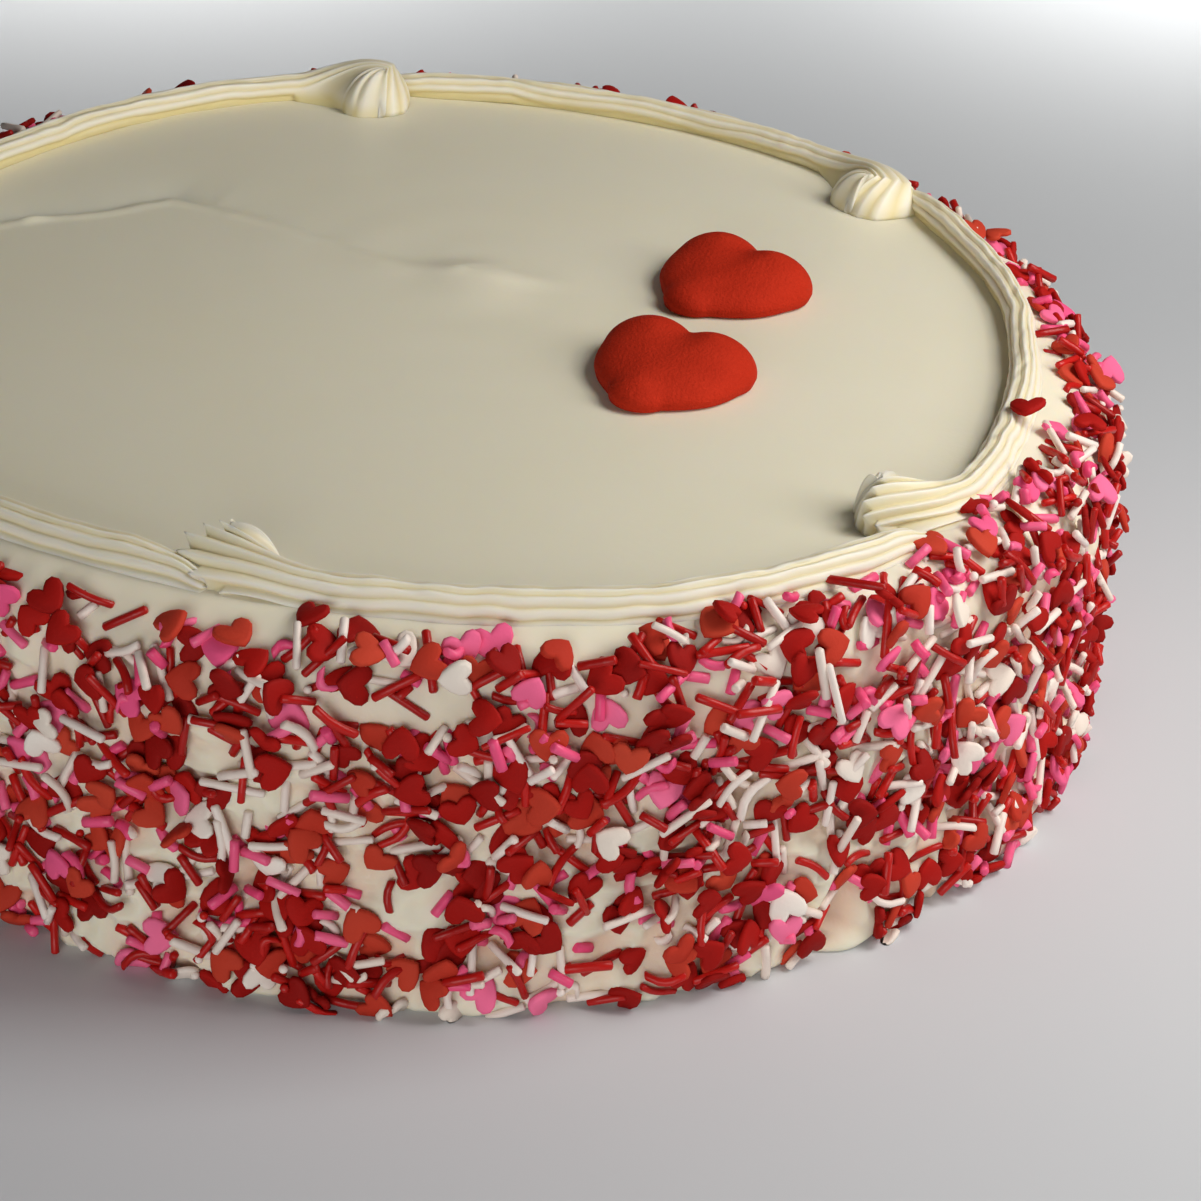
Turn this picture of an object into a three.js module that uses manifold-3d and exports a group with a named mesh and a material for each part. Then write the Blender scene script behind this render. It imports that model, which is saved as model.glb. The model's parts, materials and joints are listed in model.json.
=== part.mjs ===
// Round iced layer cake, uncut: a smooth flat top, a pulled icing side coated with sugar
// sprinkles, a piped border of five runs on the top edge and two domed candy hearts.
// Millimetres, +Z up, the origin is the middle of the base, the shown front faces -Y.
import * as THREE from "three";
import { mergeVertices } from "three/addons/utils/BufferGeometryUtils.js";
import Module from "manifold-3d";

const wasm = await Module();
wasm.setup();

// Iced body
const BASE_RADIUS = 113;
const TOP_HEIGHT = 56;
const SIDE_HEIGHT = 45;
const SIDE_TAPER = 2.8;
const TAPER_HEIGHT = 26;
const FOOT_TUCK = 0.9;
const LUMP_DEPTH = 1.0;
const SHOULDER_ARC = 16;
const SHOULDER_START = 1;
const FLATNESS = 0.03;
const COLUMNS = 76;

// Spatula peak left of the middle of the top
const PEAK_PLACE = new THREE.Vector2(2, 15);
const PEAK_HEIGHT = 1.3;
const PEAK_REACH = 7;

// Piped border: its path round the top, its rope and the shell at the start of each run
const RING_RADIUS = 100.4;
const RING_WAVES = [
  { count: 1, cos: -1.2, sin: 0.1 },
  { count: 2, cos: -0.8, sin: 2.7 },
  { count: 3, cos: -1.1, sin: -1.5 },
  { count: 4, cos: -1.0, sin: 1.4 },
];
const ROPE_INNER = 3.5;
const ROPE_OUTER = 2.1;
const ROPE_RISE = 1.2;
const ROPE_HALF_HEIGHT = 3.4;
const ROPE_TURN = 111;
const ROPE_LEAN = 0.3;
const ROPE_RIDGES = 6;
const RIDGE_DEPTH = 0.6;
const ROPE_STEP = 8.5;
const TAIL_GAP = 2.4;
const GAP = 0.3;

// Shells that start the runs. Tips and feet of the ridges are ahead of the start of the run
// and inward of its path, as for a narrow shell, and a wider one spreads them.
const NARROW_SPREAD = 7;
const SHELL_JOIN = 15;
const TIP_DEPTH = 1.2;
const GROOVE_PLACE = 0.56;
const DOME_RIDGES = 8;
const DOME_GROOVE = 0.1;
const CLAWED = [
  { tip: [0.2, -2.4, 1.0], foot: [0, -2] },
  { tip: [-4.6, -1.8, 2.6], foot: [-3.6, -1.4] },
  { tip: [-7.8, 1.4, 3.9], foot: [-6.4, 1.4] },
  { tip: [-8.3, 4.8, 5.0], foot: [-6.8, 4.6] },
  { tip: [-6.3, 6.6, 5.9], foot: [-5.4, 7.4] },
  { tip: [-4.0, 7.0, 6.6], foot: [-2.8, 8.8] },
];
const WRAPPED = [
  { tip: [-3.4, 1.4, 0.9], foot: [-3, 1.2] },
  { tip: [-6.8, 4.3, 2.1], foot: [-6, 3.8] },
  { tip: [-8.2, 5.3, 3.5], foot: [-7, 5.2] },
  { tip: [-7.2, 5.9, 5.2], foot: [-6.4, 6.6] },
  { tip: [-4.2, 6.2, 6.4], foot: [-4.8, 7.8] },
  { tip: [-2.0, 6.3, 7.0], foot: [-2.4, 8.8] },
];
const ROUNDED = [
  { tip: [0.2, -2.2, 1.0], foot: [-2.6, -2.6] },
  { tip: [-3.6, -1.4, 3.0], foot: [-7.4, -0.8] },
  { tip: [-5.4, 1.0, 4.9], foot: [-8.7, 3.2] },
  { tip: [-5.2, 3.2, 6.0], foot: [-7.4, 6.8] },
  { tip: [-4.4, 4.8, 6.6], foot: [-4.4, 9] },
  { tip: [-3.4, 5.6, 6.8], foot: [-1.0, 9.4] },
];
const SHELLS = [
  { degrees: -102.4, spread: 7, rise: 1, ridges: CLAWED, dome: [0.6, 5.2, 6.0, 4.7, 6.2] },
  { degrees: -39.7, spread: 10, rise: 1, ridges: WRAPPED, dome: [-0.6, 7.2, 6.9, 5.7, 6.8] },
  { degrees: 42, spread: 10.5, rise: 1.05, ridges: ROUNDED, dome: [-1.2, 6.6, 7.4, 6.9, 7.1] },
  { degrees: 104.8, spread: 11.3, rise: 1.22, ridges: ROUNDED, dome: [-1.2, 6.9, 7.4, 7.2, 8.5] },
  { degrees: 181.7, spread: 9, rise: 1, ridges: WRAPPED, dome: [0, 6.4, 6.6, 5.2, 6.6] },
];

// Domed candy hearts
const CANDY_HEIGHT = 7.4;
const CANDY_RIM = 1.2;
const LOBE_PLACE = new THREE.Vector2(5.15, 5.5);
const LOBE_RADIUS = 7.9;
const CANDY_TIP = new THREE.Vector2(0, -8.4);
const CANDY_TIP_RADIUS = 5;
const CANDY_BULGE = 1.8;
const TIP_SHARE = 0.45;
const LOBE_BLEND = 5.2;
const CANDY_PLACES = [
  { name: "candy_heart_near", x: 36.1, y: -19.5, turn: 64.5 },
  { name: "candy_heart_far", x: 45.2, y: 17.3, turn: 53 },
];

// Sprinkles on the side: pressed sugar hearts and short sugar strands
const SPRINKLE_WIDTH = 5.6;
const SPRINKLE_THICKNESS = 1.8;
const STRAND_DIAMETER = 1.6;
const STRAND_LENGTHS = [5.5, 8.5];
const HEART_COUNT = 84;
const STRAND_COUNT = 24;
const HEART_SPACING = 11.5;
const STRAND_SPACING = 6.4;
const SPRINKLE_BAND = [4.6, 55];
const SEED = 2214;

const DEGREE = Math.PI / 180;
const UP = new THREE.Vector3(0, 0, 1);

// Repeatable random numbers between 0 and 1
function makeRandom(seed) {
  let state = seed >>> 0;
  return () => {
    state = (state + 0x6d2b79f5) >>> 0;
    let mixed = Math.imul(state ^ (state >>> 15), 1 | state);
    mixed = (mixed + Math.imul(mixed ^ (mixed >>> 7), 61 | mixed)) ^ mixed;
    return ((mixed ^ (mixed >>> 14)) >>> 0) / 4294967296;
  };
}

function between(random, [low, high]) {
  return low + (high - low) * random();
}

// Solids and meshes
function solidFrom(geometry) {
  const bare = geometry.clone();
  bare.deleteAttribute("normal");
  bare.deleteAttribute("uv");
  const merged = mergeVertices(bare, 1e-4);
  return new wasm.Manifold(
    new wasm.Mesh({
      numProp: 3,
      vertProperties: merged.attributes.position.array,
      triVerts: new Uint32Array(merged.index.array),
    }),
  );
}

// The largest outer skin alone, without loose scraps or hollows that joining sealed
function largestSkin(solid) {
  const skins = solid.simplify(FLATNESS).decompose();
  return skins.reduce((best, each) => (each.volume() > best.volume() ? each : best));
}

function geometryFrom(solid) {
  const mesh = solid.getMesh();
  return new THREE.BufferGeometry()
    .setAttribute("position", new THREE.BufferAttribute(mesh.vertProperties, 3))
    .setIndex(new THREE.BufferAttribute(mesh.triVerts, 1));
}

// A closed skin over rings of points, with a fan to one point at each end. Rings turn
// anticlockwise as seen from the last end, so that the faces point outwards.
function skinOver(startPoint, rings, endPoint) {
  const count = rings[0].length;
  const points = [startPoint, ...rings.flat(), endPoint];
  const last = points.length - 1;
  const at = (ring, column) => 1 + ring * count + (column % count);
  const index = [];
  for (let j = 0; j < count; j++) {
    index.push(0, at(0, j + 1), at(0, j));
    for (let i = 0; i < rings.length - 1; i++) {
      index.push(at(i, j), at(i, j + 1), at(i + 1, j + 1));
      index.push(at(i, j), at(i + 1, j + 1), at(i + 1, j));
    }
    index.push(last, at(rings.length - 1, j), at(rings.length - 1, j + 1));
  }
  return new THREE.BufferGeometry().setFromPoints(points).setIndex(index);
}

function middleOf(ring) {
  const sum = ring.reduce((total, point) => total.add(point), new THREE.Vector3());
  return sum.divideScalar(ring.length);
}

function polar(radius, angle, height) {
  return new THREE.Vector3(radius * Math.cos(angle), radius * Math.sin(angle), height);
}

// Path of the piped border, which a hand guided a little off a true circle
function ringRadius(angle) {
  const wave = ({ count, cos, sin }) =>
    cos * Math.cos(count * angle) + sin * Math.sin(count * angle);
  return RING_WAVES.reduce((radius, each) => radius + wave(each), RING_RADIUS);
}

// Pulled icing of the side, as crossed waves that leave uneven lumps
function lumps(angle, height) {
  const broad = Math.sin(17 * angle + 1.9 * Math.sin(0.14 * height + 3 * angle));
  const cross = Math.cos(0.26 * height + 2.4 * Math.sin(5 * angle + 0.8));
  const fine = Math.sin(29 * angle - 0.23 * height + 1.7 * Math.cos(7 * angle));
  return LUMP_DEPTH * (0.75 * broad * cross + 0.55 * fine);
}

function sideRadius(angle, height) {
  const foot = FOOT_TUCK * Math.max(0, 1 - height / 4) ** 2;
  const fade = Math.min(1, (SIDE_HEIGHT + 4 - height) / 14);
  const climb = Math.sin(Math.min(height / TAPER_HEIGHT, 1) * 90 * DEGREE);
  return BASE_RADIUS - SIDE_TAPER * climb ** 2 - foot + lumps(angle, height) * fade;
}

// A point of the icing at a distance up the side and then over the rounded shoulder
function icingPoint(angle, distance) {
  if (distance <= SIDE_HEIGHT) {
    return polar(sideRadius(angle, distance), angle, distance);
  }
  const turn = Math.min(1, (distance - SIDE_HEIGHT) / SHOULDER_ARC) * 90 * DEGREE;
  const inner = ringRadius(angle) + SHOULDER_START;
  const outer = sideRadius(angle, SIDE_HEIGHT);
  const radius = inner + (outer - inner) * Math.cos(turn);
  const height = SIDE_HEIGHT + (TOP_HEIGHT - SIDE_HEIGHT) * Math.sin(turn);
  return polar(radius, angle, height);
}

function icingNormal(angle, distance) {
  const step = 1.5;
  const along = icingPoint(angle + step / BASE_RADIUS, distance).sub(
    icingPoint(angle - step / BASE_RADIUS, distance),
  );
  const upward = icingPoint(angle, distance + step).sub(icingPoint(angle, distance - step));
  return along.cross(upward).normalize();
}

// Height of the flat top with its spatula peak, for a point near the middle
function topHeight(x, y) {
  const away = Math.hypot(x - PEAK_PLACE.x, y - PEAK_PLACE.y) / PEAK_REACH;
  return TOP_HEIGHT + PEAK_HEIGHT * Math.max(0, 1 - away) ** 2;
}

function icedBody() {
  const sideRows = [0, 4, 10, 17, 24, 31, 38, 45];
  const shoulderRows = [1 / 3, 2 / 3, 1];
  const distances = [
    ...sideRows,
    ...shoulderRows.map((share) => SIDE_HEIGHT + share * SHOULDER_ARC),
  ];
  const angles = Array.from({ length: COLUMNS }, (_, j) => (j * 360 * DEGREE) / COLUMNS);
  const rings = distances.map((distance) =>
    angles.map((angle) => icingPoint(angle, distance)),
  );
  for (const share of [0.86, 0.3, 0.062, 0.03]) {
    const drift = PEAK_PLACE.clone().multiplyScalar(1 - share);
    rings.push(
      angles.map((angle) => {
        const reach = ringRadius(angle) * share;
        const x = reach * Math.cos(angle) + drift.x;
        const y = reach * Math.sin(angle) + drift.y;
        return new THREE.Vector3(x, y, topHeight(x, y));
      }),
    );
  }
  const peak = new THREE.Vector3(PEAK_PLACE.x, PEAK_PLACE.y, TOP_HEIGHT + PEAK_HEIGHT);
  return solidFrom(skinOver(new THREE.Vector3(), rings, peak));
}

// Pressed sugar heart, flat on both faces, centred on its middle
function heartSprinkle() {
  const half = SPRINKLE_WIDTH / 2;
  const shape = new THREE.Shape(
    [
      [0, -1],
      [0.72, -0.25],
      [1, 0.38],
      [0.55, 0.86],
      [0, 0.52],
      [-0.55, 0.86],
      [-1, 0.38],
      [-0.72, -0.25],
    ].map(([x, y]) => new THREE.Vector2(x * half, y * half)),
  );
  const plate = new THREE.ExtrudeGeometry(shape, {
    depth: SPRINKLE_THICKNESS,
    bevelEnabled: false,
  });
  return plate.translate(0, 0, -SPRINKLE_THICKNESS / 2);
}

function strandSprinkle(length) {
  const sides = 5;
  return new THREE.CylinderGeometry(STRAND_DIAMETER / 2, STRAND_DIAMETER / 2, length, sides);
}

// Evenly spread places in the coated band of the side, no two nearer than the spacing
function scatterPlaces(random, count, spacing, taken) {
  const places = [];
  for (let tries = 0; tries < 9000 && places.length < count; tries++) {
    const angle = random() * 360 * DEGREE;
    const distance = between(random, SPRINKLE_BAND);
    const point = icingPoint(angle, distance);
    const clear = [...taken, ...places].every(
      (other) => other.point.distanceTo(point) > spacing,
    );
    if (clear) places.push({ point, normal: icingNormal(angle, distance) });
  }
  return places;
}

// Turns a sprinkle to lie on the icing, spun and tilted, and sunk a little into it
function laidOn(geometry, place, random, tiltLimit, lift) {
  const face = new THREE.Quaternion().setFromUnitVectors(UP, place.normal);
  const spin = new THREE.Quaternion().setFromAxisAngle(UP, random() * 360 * DEGREE);
  const lean = new THREE.Vector3(random() - 0.5, random() - 0.5, 0).normalize();
  const tilt = new THREE.Quaternion().setFromAxisAngle(lean, random() * tiltLimit * DEGREE);
  const turned = face.multiply(tilt).multiply(spin);
  const centre = place.point.clone().addScaledVector(place.normal, lift);
  const matrix = new THREE.Matrix4().compose(centre, turned, new THREE.Vector3(1, 1, 1));
  return geometry.applyMatrix4(matrix);
}

function coatedBody() {
  const random = makeRandom(SEED);
  const hearts = scatterPlaces(random, HEART_COUNT, HEART_SPACING, []);
  const strands = scatterPlaces(random, STRAND_COUNT, STRAND_SPACING, hearts);
  let body = icedBody();
  for (const place of hearts) {
    body = body.add(solidFrom(laidOn(heartSprinkle(), place, random, 24, 0.5)));
  }
  for (const place of strands) {
    const strand = strandSprinkle(between(random, STRAND_LENGTHS));
    body = body.add(solidFrom(laidOn(strand, place, random, 14, 0.15)));
  }
  return largestSkin(body);
}

// A point by its distance ahead of a run's start, inward of the path and above the top
function borderPoint(start, ahead, inward, rise) {
  const angle = start + ahead / RING_RADIUS;
  return polar(ringRadius(angle) - inward, angle, TOP_HEIGHT + GAP + rise);
}

// Section of the rope at a share of the way from its inner foot over its top to its outer foot,
// as a distance inward and a rise
function ropePoint(share, scale, groove) {
  const turn = (share - 0.5) * 2 * ROPE_TURN * DEGREE;
  const half = turn < 0 ? ROPE_INNER : ROPE_OUTER;
  const rise = ROPE_RISE * scale + (ROPE_HALF_HEIGHT * scale - groove) * Math.cos(turn);
  const inward = -(half * scale - groove) * Math.sin(turn) + ROPE_LEAN * (rise - ROPE_RISE);
  return [inward, rise];
}

function ropeSolid(start, length) {
  const steps = Math.round(length / ROPE_STEP);
  const count = 2 * ROPE_RIDGES;
  const rings = Array.from({ length: steps + 1 }, (_, i) => {
    const ahead = (length * i) / steps;
    const swell = 1 + 0.04 * Math.sin(2.3 * i + 9 * start);
    const scale = i === steps ? 0.72 : swell;
    const drift = i === steps ? -1 : 0.3 * Math.sin(1.3 * i + start);
    return Array.from({ length: count + 1 }, (_, k) => {
      const groove = k % 2 ? 0 : RIDGE_DEPTH;
      const [inward, rise] = ropePoint(k / count, scale, k === 0 || k === count ? 0 : groove);
      return borderPoint(start, ahead, inward + drift, k === 0 || k === count ? -1 : rise);
    });
  });
  return solidFrom(skinOver(middleOf(rings[0]), rings, middleOf(rings[steps])));
}

// Spreads what lies inward of the rope to a shell's own reach
function widen(inward, { spread }) {
  return inward + Math.min(1, Math.max(0, (inward - 2) / 5)) * (spread - NARROW_SPREAD);
}

// A point of one ridge, or of the groove beside it where the index is not whole, on its way
// from its tip to the rope
function fanPoint(shell, index, share) {
  const low = shell.ridges[Math.max(0, Math.floor(index))];
  const high = shell.ridges[Math.min(shell.ridges.length - 1, Math.ceil(index))];
  const tip = low.tip.map((value, axis) => value + (high.tip[axis] - value) * (index - Math.floor(index)));
  tip[1] = widen(tip[1], shell);
  tip[2] *= shell.rise;
  const sunk = Number.isInteger(index) ? 0 : TIP_DEPTH * (1 - share) + RIDGE_DEPTH * share;
  const [inward, rise] = ropePoint(1 - (index + 0.5) / ROPE_RIDGES, 1, sunk);
  const bump = (1.6 + 1.2 * (shell.spread - NARROW_SPREAD)) * shell.rise * share * (1 - share) ** 2;
  const towards = Math.sin(share * 90 * DEGREE);
  const ahead = tip[0] + (SHELL_JOIN - tip[0]) * share + 1.4 * sunk * (1 - share);
  const across = tip[1] + (inward - tip[1]) * towards;
  return [ahead, across, tip[2] + (rise - tip[2]) * share + bump - 0.7 * sunk * (1 - share)];
}

// Blade of icing under one ridge, from its tip and foot to the rope
function ridgeSolid(shell, index, swelling) {
  const start = shell.degrees * DEGREE;
  const shares = [0, 0.35, 0.7, 1];
  const crest = shares.map((share) => fanPoint(shell, index, share));
  const grooves = [index - GROOVE_PLACE, index + GROOVE_PLACE].flatMap((each) =>
    shares.map((share) => fanPoint(shell, each, share)),
  );
  const feet = shell.ridges.slice(index, index + 2).map(({ foot }) => foot);
  const floor = [
    ...feet.map(([ahead, inward], i) => [ahead, widen(inward, shell), -1 - 0.1 * i]),
    [0.1 * index, 0.4 * shell.spread, -1],
    [SHELL_JOIN + 0.1 * index, 0.07 * index, -1],
  ];
  return hullOf([...crest, ...grooves, ...floor].map((each) => borderPoint(start, ...each)), swelling);
}

// Convex solid round points, each grown by a swelling
function hullOf(points, swelling) {
  const grown = points.flatMap((point) => {
    if (swelling === 0) return [point.toArray()];
    const axes = [new THREE.Vector3(1, 0, 0), new THREE.Vector3(0, 1, 0), UP];
    return axes.flatMap((axis) => [
      point.clone().addScaledVector(axis, swelling).toArray(),
      point.clone().addScaledVector(axis, -swelling).toArray(),
    ]);
  });
  return wasm.Manifold.hull(grown);
}

// Ridged dome on the inner side, whose ridges swirl down from its crown
function domeSolid(shell, swelling) {
  const start = shell.degrees * DEGREE;
  const [ahead, inward, length, width, height] = shell.dome;
  const count = 2 * DOME_RIDGES;
  const levels = [
    [1, -1],
    [0.98, 0.25],
    [0.84, 0.62],
    [0.5, 0.9],
  ];
  const rings = levels.map(([share, rise], i) =>
    Array.from({ length: count }, (_, k) => {
      const turn = (k * 360 * DEGREE) / count + 14 * i * DEGREE;
      const reach = share * (k % 2 ? 1 - DOME_GROOVE : 1);
      return borderPoint(
        start,
        ahead + (length * reach + swelling) * Math.cos(turn),
        inward + (width * reach + swelling) * Math.sin(turn),
        i === 0 ? -1 : rise * height + swelling,
      );
    }),
  );
  const bottom = borderPoint(start, ahead, inward, -1);
  const crown = borderPoint(start, ahead, inward, height + swelling);
  return solidFrom(skinOver(bottom, rings, crown));
}

function shellSolid(shell, swelling) {
  const blades = shell.ridges.map((_, index) => ridgeSolid(shell, index, swelling));
  return blades.reduce((whole, blade) => whole.add(blade), domeSolid(shell, swelling));
}

// A slab just under the border, that trims its underside flat above the top
function underSlab() {
  const depth = 20;
  const slab = new THREE.BoxGeometry(3 * BASE_RADIUS, 3 * BASE_RADIUS, depth);
  return solidFrom(slab.translate(0, 0, TOP_HEIGHT + GAP - depth / 2));
}

function borderRun(index) {
  const next = (index + 1) % SHELLS.length;
  const start = SHELLS[index].degrees * DEGREE;
  const turns = next === 0 ? 360 : 0;
  const length = (SHELLS[next].degrees + turns) * DEGREE * RING_RADIUS - start * RING_RADIUS;
  const rope = ropeSolid(start, length - TAIL_GAP);
  const run = rope.add(shellSolid(SHELLS[index], 0));
  return largestSkin(run.subtract(shellSolid(SHELLS[next], GAP)).subtract(underSlab()));
}

// How near a point of a candy heart is to the edge of one lobe, one on it, and its place
// along the lobe from the tip
function lobeAt(point, side) {
  const lean = new THREE.Vector2(side * LOBE_PLACE.x, LOBE_PLACE.y).sub(CANDY_TIP);
  const offset = point.clone().sub(CANDY_TIP);
  const along = Math.min(1, Math.max(0, offset.dot(lean) / lean.lengthSq()));
  const bulge = CANDY_BULGE * Math.sin(180 * DEGREE * along);
  const radius = CANDY_TIP_RADIUS + (LOBE_RADIUS - CANDY_TIP_RADIUS) * along + bulge;
  return { near: offset.distanceTo(lean.multiplyScalar(along)) / radius, along };
}

// Outline of a candy heart at a turn from its cleft, found by halving
function candyOutline(turn) {
  const ray = new THREE.Vector2(Math.sin(turn), Math.cos(turn));
  let low = 0;
  let high = 30;
  for (let i = 0; i < 24; i++) {
    const middle = (low + high) / 2;
    const point = ray.clone().multiplyScalar(middle);
    const inside = Math.min(lobeAt(point, -1).near, lobeAt(point, 1).near) < 1;
    low = inside ? middle : low;
    high = inside ? high : middle;
  }
  return ray.multiplyScalar(low);
}

// Height over the rim where the two lobes and their shared tip run together
function candyDome(point) {
  const total = [-1, 1].reduce((sum, side) => {
    const { near, along } = lobeAt(point, side);
    const lobe = Math.max(0, 1 - near ** 1.63) ** 0.51;
    return sum + (lobe * (TIP_SHARE + (1 - TIP_SHARE) * along)) ** LOBE_BLEND;
  }, 0);
  return (CANDY_HEIGHT - CANDY_RIM) * total ** (1 / LOBE_BLEND);
}

// Domed candy heart: its outline shrinks towards the middle while it rises
function candySolid() {
  const count = 28;
  const levels = [0.96, 0.87, 0.7, 0.45, 0.2];
  const rings = [0, CANDY_RIM].map((height) =>
    Array.from({ length: count }, (_, k) => {
      const flat = candyOutline((-k * 360 * DEGREE) / count);
      return new THREE.Vector3(flat.x, flat.y, GAP + height);
    }),
  );
  for (const share of levels) {
    rings.push(
      rings[0].map((edge) => {
        const flat = new THREE.Vector2(edge.x, edge.y).multiplyScalar(share);
        return new THREE.Vector3(flat.x, flat.y, GAP + CANDY_RIM + candyDome(flat));
      }),
    );
  }
  const bottom = new THREE.Vector3(0, 0, GAP);
  const crown = new THREE.Vector3(0, 0, GAP + CANDY_RIM + candyDome(new THREE.Vector2()));
  return solidFrom(skinOver(bottom, rings, crown));
}

const icing = new THREE.MeshStandardMaterial({ color: 0xe6dfc6, roughness: 0.5, metalness: 0 });
const piped = new THREE.MeshStandardMaterial({ color: 0xece6cd, roughness: 0.45, metalness: 0 });
const candy = new THREE.MeshStandardMaterial({ color: 0xb32219, roughness: 0.75, metalness: 0 });

const cake = new THREE.Group();

function addPiece(name, solid, material) {
  const mesh = new THREE.Mesh(geometryFrom(solid), material.clone());
  mesh.name = name;
  cake.add(mesh);
  return mesh;
}

addPiece("iced_cake", coatedBody(), icing);
SHELLS.forEach((_, index) => {
  addPiece("piped_border_" + (index + 1), borderRun(index), piped);
});
for (const { name, x, y, turn } of CANDY_PLACES) {
  const heart = addPiece(name, candySolid(), candy);
  heart.position.set(x, y, TOP_HEIGHT);
  heart.rotation.z = (turn - 90) * DEGREE;
}

export default cake;
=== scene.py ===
"""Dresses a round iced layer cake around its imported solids.

The icing, the piped border, the candy hearts and the sprinkles are modelled in millimetres
from the same named sizes as the solids, and become metres when a piece is finished.
"""

import json
import logging
import math
from dataclasses import dataclass, field
from enum import Enum
from typing import Callable

import bmesh
import bpy
import numpy as np
from mathutils import Matrix, Vector

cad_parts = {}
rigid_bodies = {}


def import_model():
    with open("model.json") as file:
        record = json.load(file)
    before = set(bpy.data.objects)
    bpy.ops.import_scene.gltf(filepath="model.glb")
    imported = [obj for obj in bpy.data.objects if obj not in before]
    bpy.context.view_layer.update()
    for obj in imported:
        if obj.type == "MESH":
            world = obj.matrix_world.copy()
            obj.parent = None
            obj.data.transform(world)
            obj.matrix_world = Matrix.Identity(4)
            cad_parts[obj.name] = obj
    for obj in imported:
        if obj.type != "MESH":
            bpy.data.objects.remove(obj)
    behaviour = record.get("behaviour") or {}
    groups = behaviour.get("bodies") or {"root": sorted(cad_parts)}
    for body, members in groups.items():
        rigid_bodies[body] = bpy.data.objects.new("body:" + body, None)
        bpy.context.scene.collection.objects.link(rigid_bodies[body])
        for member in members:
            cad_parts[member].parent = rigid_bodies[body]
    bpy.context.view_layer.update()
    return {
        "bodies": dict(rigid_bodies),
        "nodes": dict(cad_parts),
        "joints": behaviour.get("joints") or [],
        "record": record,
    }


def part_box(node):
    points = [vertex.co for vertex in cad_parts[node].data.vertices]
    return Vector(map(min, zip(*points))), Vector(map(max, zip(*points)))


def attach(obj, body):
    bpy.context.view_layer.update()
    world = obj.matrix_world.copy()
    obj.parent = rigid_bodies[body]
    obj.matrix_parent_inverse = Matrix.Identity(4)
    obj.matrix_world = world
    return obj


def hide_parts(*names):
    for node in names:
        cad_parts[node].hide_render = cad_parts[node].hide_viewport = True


LOG = logging.getLogger("cake")
ROOT = "root"
MILLIMETRE = 0.001
SEED = 2214
GAP = 0.3  # the solids leave this many millimetres under what lies on the top

Array = np.ndarray
Mapping = Callable[[Array, Array], tuple[Array, Array]]


def linear(hex_colour: str) -> tuple[float, float, float, float]:
    """Turns an sRGB hex colour to linear light.

    Args:
        hex_colour: six hex digits, red first.

    Returns:
        Linear red, green, blue and an alpha of one.
    """
    parts = [int(hex_colour[i : i + 2], 16) / 255 for i in (0, 2, 4)]
    light = [c / 12.92 if c <= 0.04045 else ((c + 0.055) / 1.055) ** 2.4 for c in parts]
    return (light[0], light[1], light[2], 1.0)


def add_node(tree: bpy.types.NodeTree, kind: str, links: dict | None = None, **settings) -> bpy.types.Node:
    """Adds one shader node with its settings and links.

    Args:
        tree: the material's node tree.
        kind: the node's class name.
        links: input name or number to the socket that feeds it.
        settings: node properties, or input values with in_ before the input's name or number. A
            colour Mix node has its two colours at 6 and 7.

    Returns:
        The new node.
    """
    node = tree.nodes.new(kind)
    for name, value in settings.items():
        if name.startswith("in_"):
            key = name[3:]
            node.inputs[int(key) if key.isdigit() else key.replace("_", " ")].default_value = value
        else:
            setattr(node, name, value)
    for key, source in (links or {}).items():
        tree.links.new(source, node.inputs[key])
    return node


class SmoothNoise:
    """Repeatable smooth noise on a lattice that closes on itself round the cake."""

    def __init__(self, seed: int, columns: int, rows: int = 64) -> None:
        """Draws the lattice.

        Args:
            seed: seed of the random draw.
            columns: cells in one turn.
            rows: cells before the noise repeats the other way.
        """
        self.lattice = np.random.default_rng(seed).uniform(-1, 1, (columns, rows))

    def __call__(self, turn: Array, across: Array) -> Array:
        """Reads the noise.

        Args:
            turn: place round the cake, one for a full turn.
            across: place the other way, in cells.

        Returns:
            Values between -1 and 1.
        """
        columns, rows = self.lattice.shape
        u = np.asarray(turn) * columns
        v = np.asarray(across, dtype=float)
        i, j = np.floor(u).astype(int), np.floor(v).astype(int)
        s, t = u - i, v - j
        s, t = s * s * (3 - 2 * s), t * t * (3 - 2 * t)
        left, right, here, above = i % columns, (i + 1) % columns, j % rows, (j + 1) % rows
        low = self.lattice[left, here] * (1 - s) + self.lattice[right, here] * s
        high = self.lattice[left, above] * (1 - s) + self.lattice[right, above] * s
        return low * (1 - t) + high * t


@dataclass(frozen=True)
class BorderPath:
    """The path of the piped border round the top, which a hand guided."""

    radius: float = 100.4
    waves: tuple[tuple[int, float, float], ...] = (
        (1, -1.2, 0.1),
        (2, -0.8, 2.7),
        (3, -1.1, -1.5),
        (4, -1.0, 1.4),
    )

    def reach(self, angle: Array) -> Array:
        """Returns the path's distance from the axis at an angle in radians."""
        waves = (c * np.cos(n * angle) + s * np.sin(n * angle) for n, c, s in self.waves)
        return self.radius + sum(waves)


def open_sheet(
    name: str, columns: int, rows: int, size: float
) -> tuple[bmesh.types.BMesh, bpy.types.Mesh, Array]:
    """Starts a flat grid.

    Args:
        name: name of the mesh.
        columns: faces across.
        rows: faces along.
        size: half the length of its side.

    Returns:
        The form, the mesh that it is written to, and one row of x, y and z for each point.
    """
    bm = bmesh.new()
    bmesh.ops.create_grid(bm, x_segments=columns, y_segments=rows, size=size)
    mesh = bpy.data.meshes.new(name)
    bm.to_mesh(mesh)
    flat = np.empty(len(mesh.vertices) * 3)
    mesh.vertices.foreach_get("co", flat)
    return bm, mesh, flat.reshape(-1, 3)


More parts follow.
